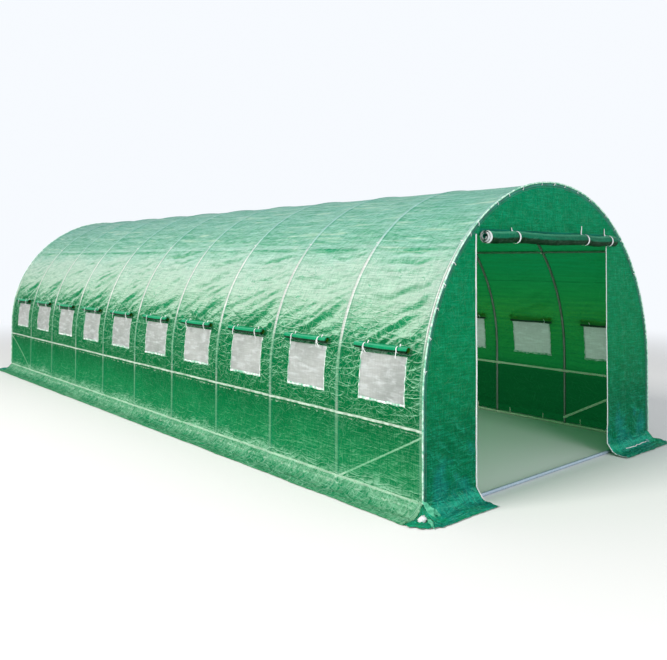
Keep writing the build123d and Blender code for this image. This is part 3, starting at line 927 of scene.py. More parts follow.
def side_colour(tree, film, normal):
    """Deep green below the windows, mint above from sun bleaching and painted sheen, duller on the roof, with
    painted highlights and shade where folds tilt.
    """
    place, axes = object_place(tree)
    stir = remap(tree, film.outputs["Cloud"], 0.3, 0.7, -0.06, 0.06)
    up = add_up(tree, axes[2], (stir, 1.0))
    share_up = remap(tree, up, 0.0, tunnel_height)
    deep = ramp_colour(
        tree, share_up,
        [
            (0.0, (0.014, 0.3, 0.12)), (0.12, (0.008, 0.26, 0.085)), (0.24, (0.002, 0.15, 0.045)),
            (0.44, (0.003, 0.16, 0.055)), (0.56, (0.02, 0.3, 0.13)), (0.76, (0.03, 0.32, 0.16)),
            (1.0, (0.03, 0.3, 0.19)),
        ],
    )
    pale = ramp_colour(tree, share_up, [
        (0.00, (0.38, 0.76, 0.50)), (0.40, (0.38, 0.76, 0.50)), (0.56, (0.54, 0.74, 0.60)),
        (0.70, (0.57, 0.76, 0.66)), (0.79, (0.48, 0.79, 0.69)), (1.00, (0.43, 0.76, 0.75)),
    ])
    # sun bleaching together with painted sheen, palest on the sunlit shoulder
    bleach_and_sheen = ramp_colour(
        tree, share_up,
        [
            (0.0, 0.2), (0.012, 0.26), (0.022, 0.48), (0.038, 0.4), (0.05, 0.36), (0.075, 0.03), (0.2, 0.0),
            (0.26, 0.0), (0.43, 0.0), (0.475, 0.15), (0.54, 0.57), (0.61, 0.86), (0.7, 0.9), (0.755, 0.64),
            (0.8, 0.46), (1.0, 0.48),
        ],
    )
    streak = maths(tree, "SUBTRACT", film.outputs["Streak"], 0.5)
    # painted light and shade: folds that tilt up or back are painted paler, folds that tilt down darker
    tilt = tilt_up(tree, axes, normal)
    cloth_uv = on_cloth(tree)
    # painted highlights: pale streaks along the shoulder and roof, the brightest turned yellowish
    brush_place = stretched(tree, cloth_uv, (1.9, 25.0, 1.0), -9)
    brush = noise(tree, brush_place, 1.0, 5.0, 0.9)
    brush_level = ramp_colour(
        tree, share_up, [(0.0, 0.0), (0.46, 0.0), (0.56, 0.35), (0.74, 0.6), (0.82, 1.0), (1.0, 1.0)],
    )
    streak_glints = remap(tree, brush.outputs["Fac"], 0.35, 0.68, -0.17, 0.24)
    streak_glints = maths(tree, "MULTIPLY", streak_glints, brush_level)
    tilt_level = ramp_colour(tree, share_up, [
        (0.0, 1.0), (0.045, 1.0), (0.065, 0.55), (0.215, 0.55), (0.25, 1.0), (0.52, 1.0),
        (0.60, 0.80), (0.74, 0.80), (0.80, 1.0), (1.0, 1.0),
    ])
    tilt = maths(tree, "MULTIPLY", tilt, tilt_level)
    # away from the front the bleaching and painted sheen are weaker up to the windows' heads and stronger on
    # the shoulder, and below the rail it stays greenest
    calm_far = remap(tree, axes[1], -3.4, -1.6, 0.0, -0.13)
    calm_high = ramp_colour(
        tree, share_up, [(0.0, 0.5), (0.06, 0.5), (0.09, 1.0), (0.42, 1.0), (0.48, 0.0), (1.0, 0.0)],
    )
    calm = maths(tree, "MULTIPLY", calm_far, calm_high)
    sunned_high = ramp_colour(
        tree, share_up, [(0.0, 0.0), (0.5, 0.0), (0.58, 1.0), (0.74, 1.0), (0.8, 0.0), (1.0, 0.0)],
    )
    far_pale = maths(tree, "MULTIPLY", calm_far, sunned_high)
    by_windows = ramp_colour(
        tree, share_up, [(0.0, 0.0), (0.236, 0.0), (0.26, 1.0), (0.42, 1.0), (0.47, 0.0), (1.0, 0.0)],
    )
    paleness = add_up(
        tree, bleach_and_sheen, (tilt, 1.9), (streak, 0.26), (streak_glints, 1.0), (calm, 1.0), (far_pale, -0.9),
        (by_windows, -0.12),
    )
    whole = remap(tree, paleness, 0.0, 1.0)
    cloth = blend_colour(tree, whole, deep, pale)
    roof_glints = remap(tree, streak_glints, 0.1, 0.3, 0.0, 0.6)
    cloth = blend_colour(tree, roof_glints, cloth, (0.72, 0.88, 0.62))
    # painted shade in sharp fine creases, mostly level, in patches above the windows
    crinkle_place = stretched(tree, cloth_uv, (5.0, 15.0, 1.0), -6)
    crinkle_line = noise(tree, crinkle_place, 1.0, 2.0, 1.3).outputs["Fac"]
    crinkle_patch = noise(tree, cloth_uv, 3.2, 2.0).outputs["Fac"]
    crinkle_level = ramp_colour(
        tree, share_up,
        [(0.0, 0.0), (0.44, 0.0), (0.5, 0.75), (0.62, 0.75), (0.76, 0.45), (0.8, 0.15), (1.0, 0.15)],
    )
    crease_shade_share = remap(tree, crinkle_patch, 0.44, 0.56, 0.0, 1.0)
    crease_shade_share = maths(tree, "MULTIPLY", crease_shade_share, crinkle_level)
    crease_shade_share = maths(tree, "MULTIPLY", crease_shade_share, mask_near(tree, crinkle_line, 0.5, 0.0095))
    cloth = blend_colour(tree, crease_shade_share, cloth, (0.05, 0.42, 0.22))
    # where the cover bears on a tube it rises in a ridge with a painted highlight along it, in an uneven line
    wander = noise(tree, place, 22.0, 3.0)
    wandered = maths(tree, "SUBTRACT", wander.outputs["Fac"], 0.5)
    along = maths(tree, "ADD", axes[1], half_length)
    from_hoop = maths(tree, "PINGPONG", along, bay / 2)
    hoop_near = add_up(tree, from_hoop, (wandered, 0.005))
    hoop_glint = mask_near(tree, hoop_near, 0.0, 0.0170)
    hoop_shade_line = mask_near(tree, hoop_near, 0.0185, 0.0065)
    hoop_level = ramp_colour(
        tree, share_up,
        [
            (0.0, 0.12), (0.05, 0.16), (0.065, 0.32), (0.23, 0.32), (0.42, 0.5), (0.5, 0.95), (0.72, 0.95),
            (0.8, 0.8), (1.0, 0.7),
        ],
    )
    glint_colour = ramp_colour(
        tree, share_up,
        [
            (0.0, (0.66, 0.94, 0.7)), (0.05, (0.66, 0.94, 0.7)), (0.065, (0.3, 0.72, 0.42)),
            (0.2, (0.36, 0.76, 0.46)), (0.23, (0.8, 0.98, 0.82)), (0.26, (0.8, 0.98, 0.82)),
            (0.29, (0.4, 0.78, 0.5)), (0.42, (0.45, 0.82, 0.55)), (0.5, (0.97, 1.0, 0.95)),
            (0.72, (0.97, 1.0, 0.97)), (0.82, (0.52, 0.84, 0.8)), (1.0, (0.4, 0.7, 0.72)),
        ],
    )
    rail_glint = mask_near(tree, add_up(tree, axes[2], (wandered, 0.010)), side_rail_height, 0.0105)
    rail_edge = mask_near(tree, add_up(tree, axes[2], (wandered, 0.045)), 0.505, 0.0055)
    from_brace = maths(tree, "SUBTRACT", maths(tree, "ABSOLUTE", axes[1]), brace_inner)
    brace_place = add_up(tree, axes[2], (from_brace, -0.521))
    brace_glint = mask_near(tree, add_up(tree, brace_place, (wandered, 0.008)), brace_low, 0.0085)
    in_end_bay = maths(tree, "GREATER_THAN", from_brace, 0.0)
    # painted shade: a dark line beside each hoop's highlight, where the cover falls away from the hoop
    dimmed = maths(tree, "MULTIPLY", hoop_shade_line, 0.35)
    edged = blend_colour(tree, dimmed, cloth, (0.02, 0.22, 0.15))
    glints = maths(tree, "MULTIPLY", hoop_glint, hoop_level)
    rail_level = remap(tree, wander.outputs["Fac"], 0.35, 0.6, 0.55, 1.0)
    edge_level = remap(tree, wander.outputs["Fac"], 0.48, 0.62, 0.0, 0.5)
    # painted highlights on the folds at the wall's foot and on the flap below it
    foot_glint = mask_near(tree, add_up(tree, axes[2], (wandered, 0.012)), 0.087, 0.0095)
    foot_edge = mask_near(tree, add_up(tree, axes[2], (wandered, 0.060)), 0.056, 0.0080)
    for glint, level in (
        (rail_glint, rail_level), (rail_edge, edge_level), (foot_glint, 0.7), (foot_edge, edge_level),
    ):
        part = maths(tree, "MULTIPLY", glint, level)
        glints = maths(tree, "MAXIMUM", glints, part)
    brace_part = maths(tree, "MULTIPLY", brace_glint, in_end_bay)
    brace_level = maths(tree, "MULTIPLY", brace_part, 0.8)
    glints = maths(tree, "MAXIMUM", glints, brace_level)
    banded = blend_colour(tree, glints, edged, glint_colour)
    tone = remap(tree, film.outputs["Streak"], 0.0, 1.0, 0.8, 1.14)
    return scaled(tree, banded, tone)


side_film = film_material("woven side cover", side_colour)
roof_film = film_material("woven roof cover", side_colour, shine=0.08)
wall_line, wall_crease = {}, {}
for side, word, seed in ((-1, "left", 11), (1, "right", 83)):
    line, crease = side_height(cover_columns, cover_rows, seed)
    height = line + crease
    points = side_points(cover_columns, cover_rows, height, side)
    normals = grid_normals(points) * side
    flat = np.stack(np.meshgrid(cover_columns, cover_rows), axis=-1)
    marks = np.dstack([*fan_places(flat[..., 0], flat[..., 1]), *fold_amounts(flat[..., 1])])
    wall_line[word], wall_crease[word] = line, crease
    shown = np.ones((len(cover_rows) - 1, len(cover_columns) - 1), bool)
    mid_row = (cover_rows[1:] + cover_rows[:-1]) / 2
    mid_column = (cover_columns[1:] + cover_columns[:-1]) / 2
    for y in window_places:
        shown &= ~np.outer(
            (mid_row > window_sill_run) & (mid_row < window_head_run), np.abs(mid_column - y) < window_half
        )
    cut = int(np.argmin(np.abs(cover_rows - purlin_run)))
    # the two sides read their pattern at different places, so that it isn't mirrored at the ridge
    cloth_shift = np.array([0, 0 if side < 0 else 7.3])
    for part, rows, cells, nodes, film, run in (
        (
            "side_cover", slice(0, cut + 1), slice(0, cut), ("lower_wall", "window_wall", "shoulder"),
            side_film, purlin_run,
        ),
        ("roof_cover", slice(cut, None), slice(cut, None), ("roof",), roof_film, ridge_run - purlin_run),
    ):
        patch = (points[rows], normals[rows], flat[rows] + cloth_shift, marks[rows], shown[cells])
        piece = woven_sheet(f"{word}_{part}", [patch], film)
        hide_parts(*[f"{word}_{node}" for node in nodes])


# End panels: flat sheets of the same cloth, darker where they face away from the sun, sewn to the side
# cover round the end hoops. The front doorway is open, and the back door is zipped shut.

door_left, door_right, door_head = -0.960, 0.780, 1.775
end_seeds = {-1: 201, 1: 301}


def arch_half_width(z):
    """Half the cover's width at a height."""
    return np.where(z < leg, sheet_line, np.sqrt(np.maximum(0, sheet_line**2 - np.maximum(0, z - leg) ** 2)))


def end_height(x, z, end):
    """How far an end panel stands out of its plane: pulled in folds from the arch, loose by the ground."""
    seed = end_seeds[end]
    from_arch = np.maximum(0, arch_half_width(z) - np.abs(x))
    slack = 1 - np.exp(-((from_arch / 0.04) ** 2))
    low = np.exp(-((z - cover_foot) / 0.35))
    bend = rough(x / 0.3, z / 0.3, seed) * 0.6
    crumple = creased(x / 0.16 + bend, z / 0.12 - bend, seed + 3) - 0.5
    upright = rough(x / 0.09 + bend, z / 0.8, seed + 8)
    wavy = rough(x / 0.5, z / 0.6, seed + 9)
    folds = 0.0022 * (0.35 + 1.8 * low) * crumple + 0.0035 * (0.3 + low) * upright + 0.004 * wavy
    return slack * folds


def end_patch(xs, zs, end):
    """A patch of an end panel over grids of X and Z."""
    height = end_height(xs, zs, end)
    points = np.stack([xs, end * (sheet_front + height), zs], axis=-1)
    step = 0.004
    slope_x = (end_height(xs + step, zs, end) - end_height(xs - step, zs, end)) / (2 * step)
    slope_z = (end_height(xs, zs + step, end) - end_height(xs, zs - step, end)) / (2 * step)
    normals = unit(np.stack([-slope_x, np.full_like(xs, end), -slope_z], axis=-1))
    low = np.exp(-((zs - cover_foot) / 0.30))
    marks = np.dstack([xs / 0.4 + 0.6 * zs, zs + 0.35 * xs, 0.10 + 0.35 * low, 0.08 + 0.40 * low])
    return points, normals, np.stack([xs, zs], axis=-1), marks


def panel_beside(inner, outer_side, end):
    """The part of an end panel between the doorway's edge and the arch."""
    zs = spread([cover_foot, leg, door_head], 0.013)
    share = np.linspace(0, 1, 45)
    z = np.repeat(zs[:, None], len(share), axis=1)
    edge = outer_side * arch_half_width(z)
    return end_patch(edge + (inner - edge) * share[None, :], z, end)


def panel_above(end):
    """The part of an end panel above the doorway."""
    reach = math.acos((door_head - leg) / sheet_line)
    turns = np.linspace(-reach, reach, 150)
    xs = sheet_line * np.sin(turns)
    tops = leg + sheet_line * np.cos(turns)
    share = np.linspace(0, 1, 32)
    x = np.repeat(xs[None, :], len(share), axis=0)
    z = door_head + share[:, None] * (tops[None, :] - door_head)
    return end_patch(x, z, end)


def end_colour(tree, film, normal):
    """Deep blue-green, hazed blue with dust in patches towards the ground, and painted paler on folds that face
    up.
    """
    place, axes = object_place(tree)
    share_up = remap(tree, axes[2], 0.0, tunnel_height)
    base = ramp_colour(
        tree, share_up,
        [
            (0.0, (0.004, 0.3, 0.14)), (0.018, (0.004, 0.29, 0.13)), (0.048, (0.001, 0.17, 0.075)),
            (0.2, (0.001, 0.145, 0.058)), (0.42, (0.002, 0.2, 0.074)), (0.8, (0.001, 0.22, 0.088)),
            (1.0, (0.001, 0.23, 0.105)),
        ],
    )
    patches = noise(tree, place, 5.5, 3.0)
    low = remap(tree, axes[2], 0.75, 0.1, -0.2, 0.2)
    patch_level = add_up(tree, patches.outputs["Fac"], (low, 1.0))
    hazed = remap(tree, patch_level, 0.58, 0.8, 0.0, 0.8, smooth=True)
    dusty = blend_colour(tree, hazed, base, (0.008, 0.215, 0.180))
    streak = maths(tree, "SUBTRACT", film.outputs["Streak"], 0.5)
    # painted light: folds facing up or to the side, and the flap where it turns out, are painted paler
    facing = put(tree, "ShaderNodeSeparateXYZ", {0: normal}).outputs
    wall = remap(tree, axes[2], 0.02, 0.13)
    lift = maths(tree, "MULTIPLY", facing[2], wall)
    turned_up = maths(tree, "MULTIPLY_ADD", facing[1], -1.0, 0.0)
    on_flap = remap(tree, axes[2], 0.075, 0.045)
    flap_fold = maths(tree, "MULTIPLY", turned_up, on_flap)
    raised = add_up(tree, 0.02, (lift, 1.3), (facing[0], 0.8), (streak, 0.14), (flap_fold, 0.55))
    share = remap(tree, raised, 0.0, 1.0)
    pale = blend_colour(tree, share, dusty, (0.03, 0.55, 0.35))
    tone = remap(tree, film.outputs["Streak"], 0.0, 1.0, 0.74, 1.26)
    return scaled(tree, pale, tone)


end_film = film_material(
    "woven end panel", end_colour, shine=0.02, line_size=0.085, hair=0.15, thin=0.25, glow=(0.008, 0.3, 0.1),
)
for name, patch, node, flat in (
    ("front_panel_left", panel_beside(door_left, -1, -1), "front_end_left", (0.543, 1.685)),
    ("front_panel_right", panel_beside(door_right, 1, -1), "front_end_right", (0.723, 1.685)),
    ("front_panel_top", panel_above(-1), "front_end_top", (2.1, 0.428)),
):
    panel = woven_sheet(name, [patch], end_film)
    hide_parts(node)
    grid = patch[0]
    cells = np.cross(grid[1:, :-1] - grid[:-1, :-1], grid[:-1, 1:] - grid[:-1, :-1])

back_patches = [panel_beside(door_left, -1, 1), panel_beside(door_right, 1, 1), panel_above(1)]
back_panel = woven_sheet("back_panel", back_patches, end_film)
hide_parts("back_end_panel")

door_x, door_z = np.meshgrid(spread([door_left, door_right], 0.014), spread([cover_foot, door_head], 0.014))
back_door = woven_sheet("back_door_sheet", [end_patch(door_x, door_z, 1)], end_film)
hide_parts("back_door")


# Ground flaps: the cover's hem, in the same woven cloth, turns out and lies flat all round the foot of the
# tunnel. It is creased along its length and has a wavy cut edge.

slope_run, flap_reach, flap_lie, flap_flat = 0.06, 0.18, 0.003, 0.21


def flap_section(q):
    """Out and up along a flap's section, from the wall at q 0 to the cut edge at q 1."""
    out = np.interp(q, [0, 0.33, 0.45, 1], [0, slope_run * 0.8, slope_run * 1.3, flap_reach])
    up = np.interp(q, [0, 0.33, 0.45, 1], [cover_foot, 0.020, flap_lie + 0.003, flap_lie])
    return out, up


def flap_lift(run, q, seed):
    """Height of the creases on a flap, by place along it and across it."""
    bend = rough(run / 0.25, q * 1.5, seed) * 0.5
    along = creased(run / 0.22 + bend, q * 3.2 + bend, seed + 1, 3)
    small = creased(run / 0.07 + bend, q * 5.0 - bend, seed + 3, 2)
    return (0.002 + 0.014 * np.clip(along - 0.35, 0, 1) + 0.004 * np.clip(small - 0.3, 0, 1)) * swell(q * 0.97)


def flap_marks(run, q):
    """The folds and crumples of a flap."""
    return np.dstack([run / 0.5, q * flap_flat, 0.9 + 0 * q, 1.8 - 0.6 * q])


def upward_normals(points):
    """Normals over a grid of points, turned up."""
    normals = grid_normals(points)
    return normals * np.sign(normals[..., 2:].mean())


q_rows = np.linspace(0, 1, 20)
for side, word, seed in ((-1, "left", 501), (1, "right", 551)):
    y, q = np.meshgrid(cover_columns, q_rows)
    out, up = flap_section(q)
    top = side_points(cover_columns, cover_rows[:1], (wall_line[word] + wall_crease[word])[:1], side)[0]
    lift = flap_lift(y, q, seed)
    fade = np.clip(q / 0.25, 0, 1)
    edge = 0.010 * rough(y / 0.35, 0 * y, seed + 5) + 0.004 * rough(y / 0.06, 0 * y, seed + 6)
    if side > 0:
        out = out * np.interp(y, [-sheet_front, -sheet_front + 0.45], [0.5, 1.0])
    x = side * ((np.abs(top[None, :, 0]) - sheet_line) * (1 - fade) + sheet_line + out + edge * q**2)
    z = up + lift * fade
    points = np.stack([x, y, z], axis=-1)
    piece = woven_sheet(
        f"{word}_ground_flap",
        [(points, grid_normals(points) * -side, np.stack([y, -q * flap_flat], axis=-1), flap_marks(y, q))],
        side_film,
    )
    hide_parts(f"{word}_side_flap")


# the end flaps turn round the corners to the side flaps in gathered quarter rounds
flap_grids = {}
for word, end, flap_from, flap_to, turned in (
    ("front_left", -1, -sheet_line, door_left, (-1,)),
    ("front_right", -1, door_right, sheet_line, (1,)),
    ("back", 1, -sheet_line, sheet_line, (-1, 1)),
):
    seed = 601 + len(word)
    patches = []
    x, q = np.meshgrid(spread([flap_from, flap_to], 0.013), q_rows)
    out, up = flap_section(q)
    lift = flap_lift(x * end + 3.1, q, seed)
    fade = np.clip(q / 0.25, 0, 1)
    edge = 0.010 * rough(x / 0.22, 0 * x, seed + 5) + 0.006 * rough(x / 0.05, 0 * x, seed + 6)
    foot = end_height(x, np.full_like(x, cover_foot), end) * (1 - fade)
    y = end * (sheet_front + foot + out + edge * q**2)
    points = np.stack([x, y, up + lift * fade], axis=-1)
    normals = upward_normals(points)
    bent = np.clip(q / 0.32, 0, 1)[..., None]
    normals = unit(normals * bent + np.array([0, end, 0.1]) * (1 - bent))
    patches.append((points, normals, np.stack([x, -q * flap_flat], axis=-1), flap_marks(x, q)))
    flap_grids[word] = points, normals
    for side in turned:
        turn, q = np.meshgrid(np.linspace(0, math.pi / 2, 26), q_rows)
        out, up = flap_section(q)
        corner_x = side * sheet_line
        gather = 0.5 + 0.5 * np.cos(turn * 14 + 1.5 * rough(turn * 2, q * 3, seed + 9))
        lift = 0.002 + 0.013 * gather * swell(q * 0.93) * swell(turn * 2 / math.pi)
        reach = out * (1 + 0.12 * rough(turn * 5, 0 * q, seed + 11))
        if side > 0 and end < 0:
            reach = reach * (1 - 0.5 * np.clip(turn / (math.pi / 2), 0, 1))
        x = corner_x + side * reach * np.sin(turn)
        y = end * (sheet_front + reach * np.cos(turn))
        points = np.stack([x, y, up + lift * np.clip(q / 0.25, 0, 1)], axis=-1)
        run = side * (1.5 + turn * 0.1)
        flat = np.stack([run, -q * flap_flat], axis=-1)
        patches.append((points, upward_normals(points), flat, flap_marks(run, q)))
    piece = woven_sheet(f"{word}_ground_flap", patches, end_film)
    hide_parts(f"{word}_flap")


# Window netting: fine white insect mesh sewn behind each opening, inside a stitched white hem that is
# widest along the sill.

netting_back = 0.0015


def net_colour_tree():
    """White knitted mesh: rows of threads with open gaps, cloudy where it has caught dust, with painted
    diagonal highlights.
    """
    material, out = new_material("insect netting")
    tree = material.node_tree
    film = put(tree, "ShaderNodeGroup", node_tree=weave)
    film.inputs["Tape"].default_value, film.inputs["Line Size"].default_value = 0.0016, 0.20
    cloudy = remap(tree, film.outputs["Cloud"], 0.35, 0.65)
    base = blend_colour(tree, cloudy, (0.5, 0.5, 0.51), (0.68, 0.67, 0.68))
    cloth_uv = on_cloth(tree)
    # painted highlights in slanted pale streaks
    slanted = stretched(tree, cloth_uv, (9.0, 30.0, 1.0), 38)
    diagonal_glints = noise(tree, slanted, 1.0, 4.0, 0.6)
    diagonal_glint_share = remap(tree, diagonal_glints.outputs["Fac"], 0.48, 0.68, 0.0, 0.9)
    lined = blend_colour(tree, diagonal_glint_share, base, (0.86, 0.87, 0.9))
    tone = remap(tree, film.outputs["Streak"], 0.0, 1.0, 0.84, 1.1)
    colour = scaled(tree, lined, tone)
    threads = bump(tree, film.outputs["Weave"], 0.5, 0.0005)
    front = put(
        tree, "ShaderNodeBsdfPrincipled",
        {"Base Color": colour, "Roughness": 0.75, "Normal": threads},
    )
    through = put(
        tree, "ShaderNodeBsdfTranslucent", {"Color": (0.42, 0.58, 0.46, 1), "Normal": threads},
    )
    blend_shaders(tree, 0.45, front, through, out)
    return material


netting = net_colour_tree()


def tape_finish(name, light, dark, grime_size=9.0):
    """Woven tape: fine ribs across it, a darker tone in patches."""
    material, out = new_material(name)
    tree = material.node_tree
    place = put(tree, "ShaderNodeTexCoord")
    ribs = noise(tree, place.outputs["Object"], 420.0, 1.0)
    grime = noise(tree, place.outputs["Object"], grime_size, 4.0)
    worn = remap(tree, grime.outputs["Fac"], 0.35, 0.65)
    base = blend_colour(tree, worn, dark, light)
    relief = bump(tree, ribs.outputs["Fac"], 0.4, 0.0006)
    shader = put(
        tree, "ShaderNodeBsdfPrincipled",
        {"Base Color": base, "Roughness": 0.7, "Normal": relief, "Sheen Weight": 0.2},
    )
    tree.links.new(shader.outputs[0], out.inputs["Surface"])
    return material


white_tape = tape_finish("white tape", (0.82, 0.84, 0.84), (0.60, 0.63, 0.63))
hem_tape = tape_finish("stitched hem", (0.86, 0.90, 0.88), (0.10, 0.42, 0.24), grime_size=34.0)


def side_surface(word, columns, rows, off=0.0):
    """Points and normals of a side cover's own surface between any columns and rows, moved off it."""
    side = -1 if word == "left" else 1
    height = wall_line[word] + wall_crease[word]
    cols = np.array([np.interp(columns, cover_columns, line) for line in height])
    both = np.array([np.interp(rows, cover_rows, cols[:, k]) for k in range(len(columns))]).T
    points = side_points(columns, rows, both + off, side)
    return points, grid_normals(points) * side, np.stack(np.meshgrid(columns, rows), axis=-1)


for word, seed in (("left", 701), ("right", 741)):
    patches, hems = [], []
    draw = np.random.default_rng(seed)
    for n, y in enumerate(window_places):
        columns = spread([y - window_half, y + window_half], column_step)
        rows = spread([window_sill_run, window_head_run], row_step)
        u, v = (columns - y) / window_half, (rows - window_sill_run) / (window_head_run - window_sill_run)
        held = (1 - np.abs(u[None, :]) ** 4) * swell(v[:, None])
        cy, cs = np.meshgrid(columns, rows)
        slack = 0.004 * (creased(cy / 0.13 + n, cs / 0.16, seed + 2) - 0.6) - 0.004
        points, normals, flat = side_surface(word, columns, rows, held * slack - netting_back)
        patches.append((points, normals, flat))
        # each hem is a folded tape, with a padded face outside and another inside, cut a little unevenly
        near, far = y - window_half, y + window_half
        for a, b, low, high, upright in (
            (near - 0.003, near + 0.005, window_sill_run - 0.006, window_head_run, True),
            (far - 0.005, far + 0.003, window_sill_run - 0.006, window_head_run, True),
            (near - 0.006, far + 0.006, window_sill_run - 0.01, window_sill_run + 0.006, False),
        ):
            columns = spread([a, b], 0.004 if upright else 0.016)
            rows = spread([low, high], 0.015 if upright else 0.0055)
            u = (columns - a) / (b - a)
            v = (rows - low) / (high - low)
            across = u[None, :] if upright else v[:, None]
            puff = 0.0022 * np.sin(np.pi * np.clip(across, 0.02, 0.98)) * np.ones((len(rows), len(columns)))
            puff = 0.0012 + puff
            points, normals, flat = side_surface(word, columns, rows, puff)
            shift = rough(points[..., 2] / 0.05 + n, points[..., 1] / 0.05, seed + 7)
            shift = (0.0035 if upright else 0.006) * shift
            points[..., 1 if upright else 2] += shift
            hems.append((points, normals, flat))
            points, normals, flat = side_surface(word, columns, rows, -0.0030 - puff)
            points[..., 1 if upright else 2] += 1.6 * shift
            hems.append((points, -normals, flat))
    piece = woven_sheet(f"{word}_netting", patches, netting)
    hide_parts(f"{word}_window_mesh")
    hem = woven_sheet(f"{word}_window_hems", hems, hem_tape)


# Window flaps: each opening's green flap, sewn above it, is wound up from below into a loose roll and
# held by two white ties.

roll_radius, roll_half, roll_rise = 0.022, 0.245, 0.32
roll_angle, roll_axis = math.asin(roll_rise / sheet_outside), 1.5246
tie_offsets = (-0.160, 0.150)


def run_and_turn(columns, run):
    """Places on a wound sheet's flat cloth."""
    return np.stack(np.broadcast_arrays(columns[:, None], run[None, :]), axis=-1)


def coil(radius, pitch, turns, per_turn, start, heading):
    """Points of a flat spiral that winds inward, from an angle, with each point's length along it."""
    steps = int(per_turn * turns)
    angle = start + heading * 2 * np.pi * np.arange(steps + 1) / per_turn
    reach = radius - pitch * np.arange(steps + 1) / per_turn
    across, up = reach * np.cos(angle), reach * np.sin(angle)
    run = np.concatenate([[0], np.cumsum(np.hypot(np.diff(across), np.diff(up)))])
    return across, up, run


def roll_colour(tree, film, normal):
    """Saturated green, with a painted highlight along the top of the roll and painted shade on its underside.
    """
    raised = remap(tree, film.outputs["Cloud"], 0.3, 0.7)
    above = blend_colour(tree, raised, (0.001, 0.11, 0.052), (0.001, 0.165, 0.082))
    axes = object_place(tree)[1]
    by_window = remap(tree, axes[2], 1.5, 1.2)
    above = blend_colour(
        tree, by_window, above, blend_colour(tree, raised, (0.003, 0.23, 0.092), (0.004, 0.32, 0.14)),
    )
    # painted highlight on the roll's top and painted shade on its underside
    facing = put(tree, "ShaderNodeSeparateXYZ", {0: normal}).outputs
    crown = remap(tree, facing[2], 0.55, 0.95, 0.0, 0.6)
    sunny = blend_colour(tree, crown, above, (0.12, 0.52, 0.32))
    under = remap(tree, facing[2], 0.02, -0.22)
    base = blend_colour(tree, under, sunny, (0.0005, 0.024, 0.006))
    tone = remap(tree, film.outputs["Streak"], 0.0, 1.0, 0.85, 1.12)
    return scaled(tree, base, tone)


roll_film = film_material(
    "rolled flap", roll_colour, line_size=0.08, hair=0.25, thin=0.12, roughness=0.38, shine=0.04,
    glow=(0.01, 0.16, 0.05),
)
# dark green for the bar inside each window head: partly the flap's hem, partly painted shade of the roll
hem_and_roll_shade = tape_finish("folded hem and painted roll shade", (0.004, 0.060, 0.030), (0.001, 0.026, 0.012))


def ribbon(path, outward, width):
    """A flat strap along a path. The way its face looks and its width are one for all or one for each point."""
    path = np.array(path, float)
    outward = unit(np.broadcast_to(np.array(outward, float), path.shape))
    heading = unit(np.gradient(path, axis=0))
    across = unit(np.cross(heading, outward))
    face = np.cross(across, heading)
    share = np.array([-0.5, 0.0, 0.5])
    beside = np.broadcast_to(width, len(path))[:, None] * share[None, :]
    points = (
        path[:, None]
        + across[:, None] * beside[..., None]
        + face[:, None] * 0.0004 * (share == 0)[None, :, None]
    )
    run = np.concatenate([[0], np.cumsum(np.linalg.norm(np.diff(path, axis=0), axis=1))])
    flat = np.stack(np.broadcast_arrays(run[:, None], beside), axis=-1)
    return points, np.repeat(face[:, None], 3, axis=1), flat


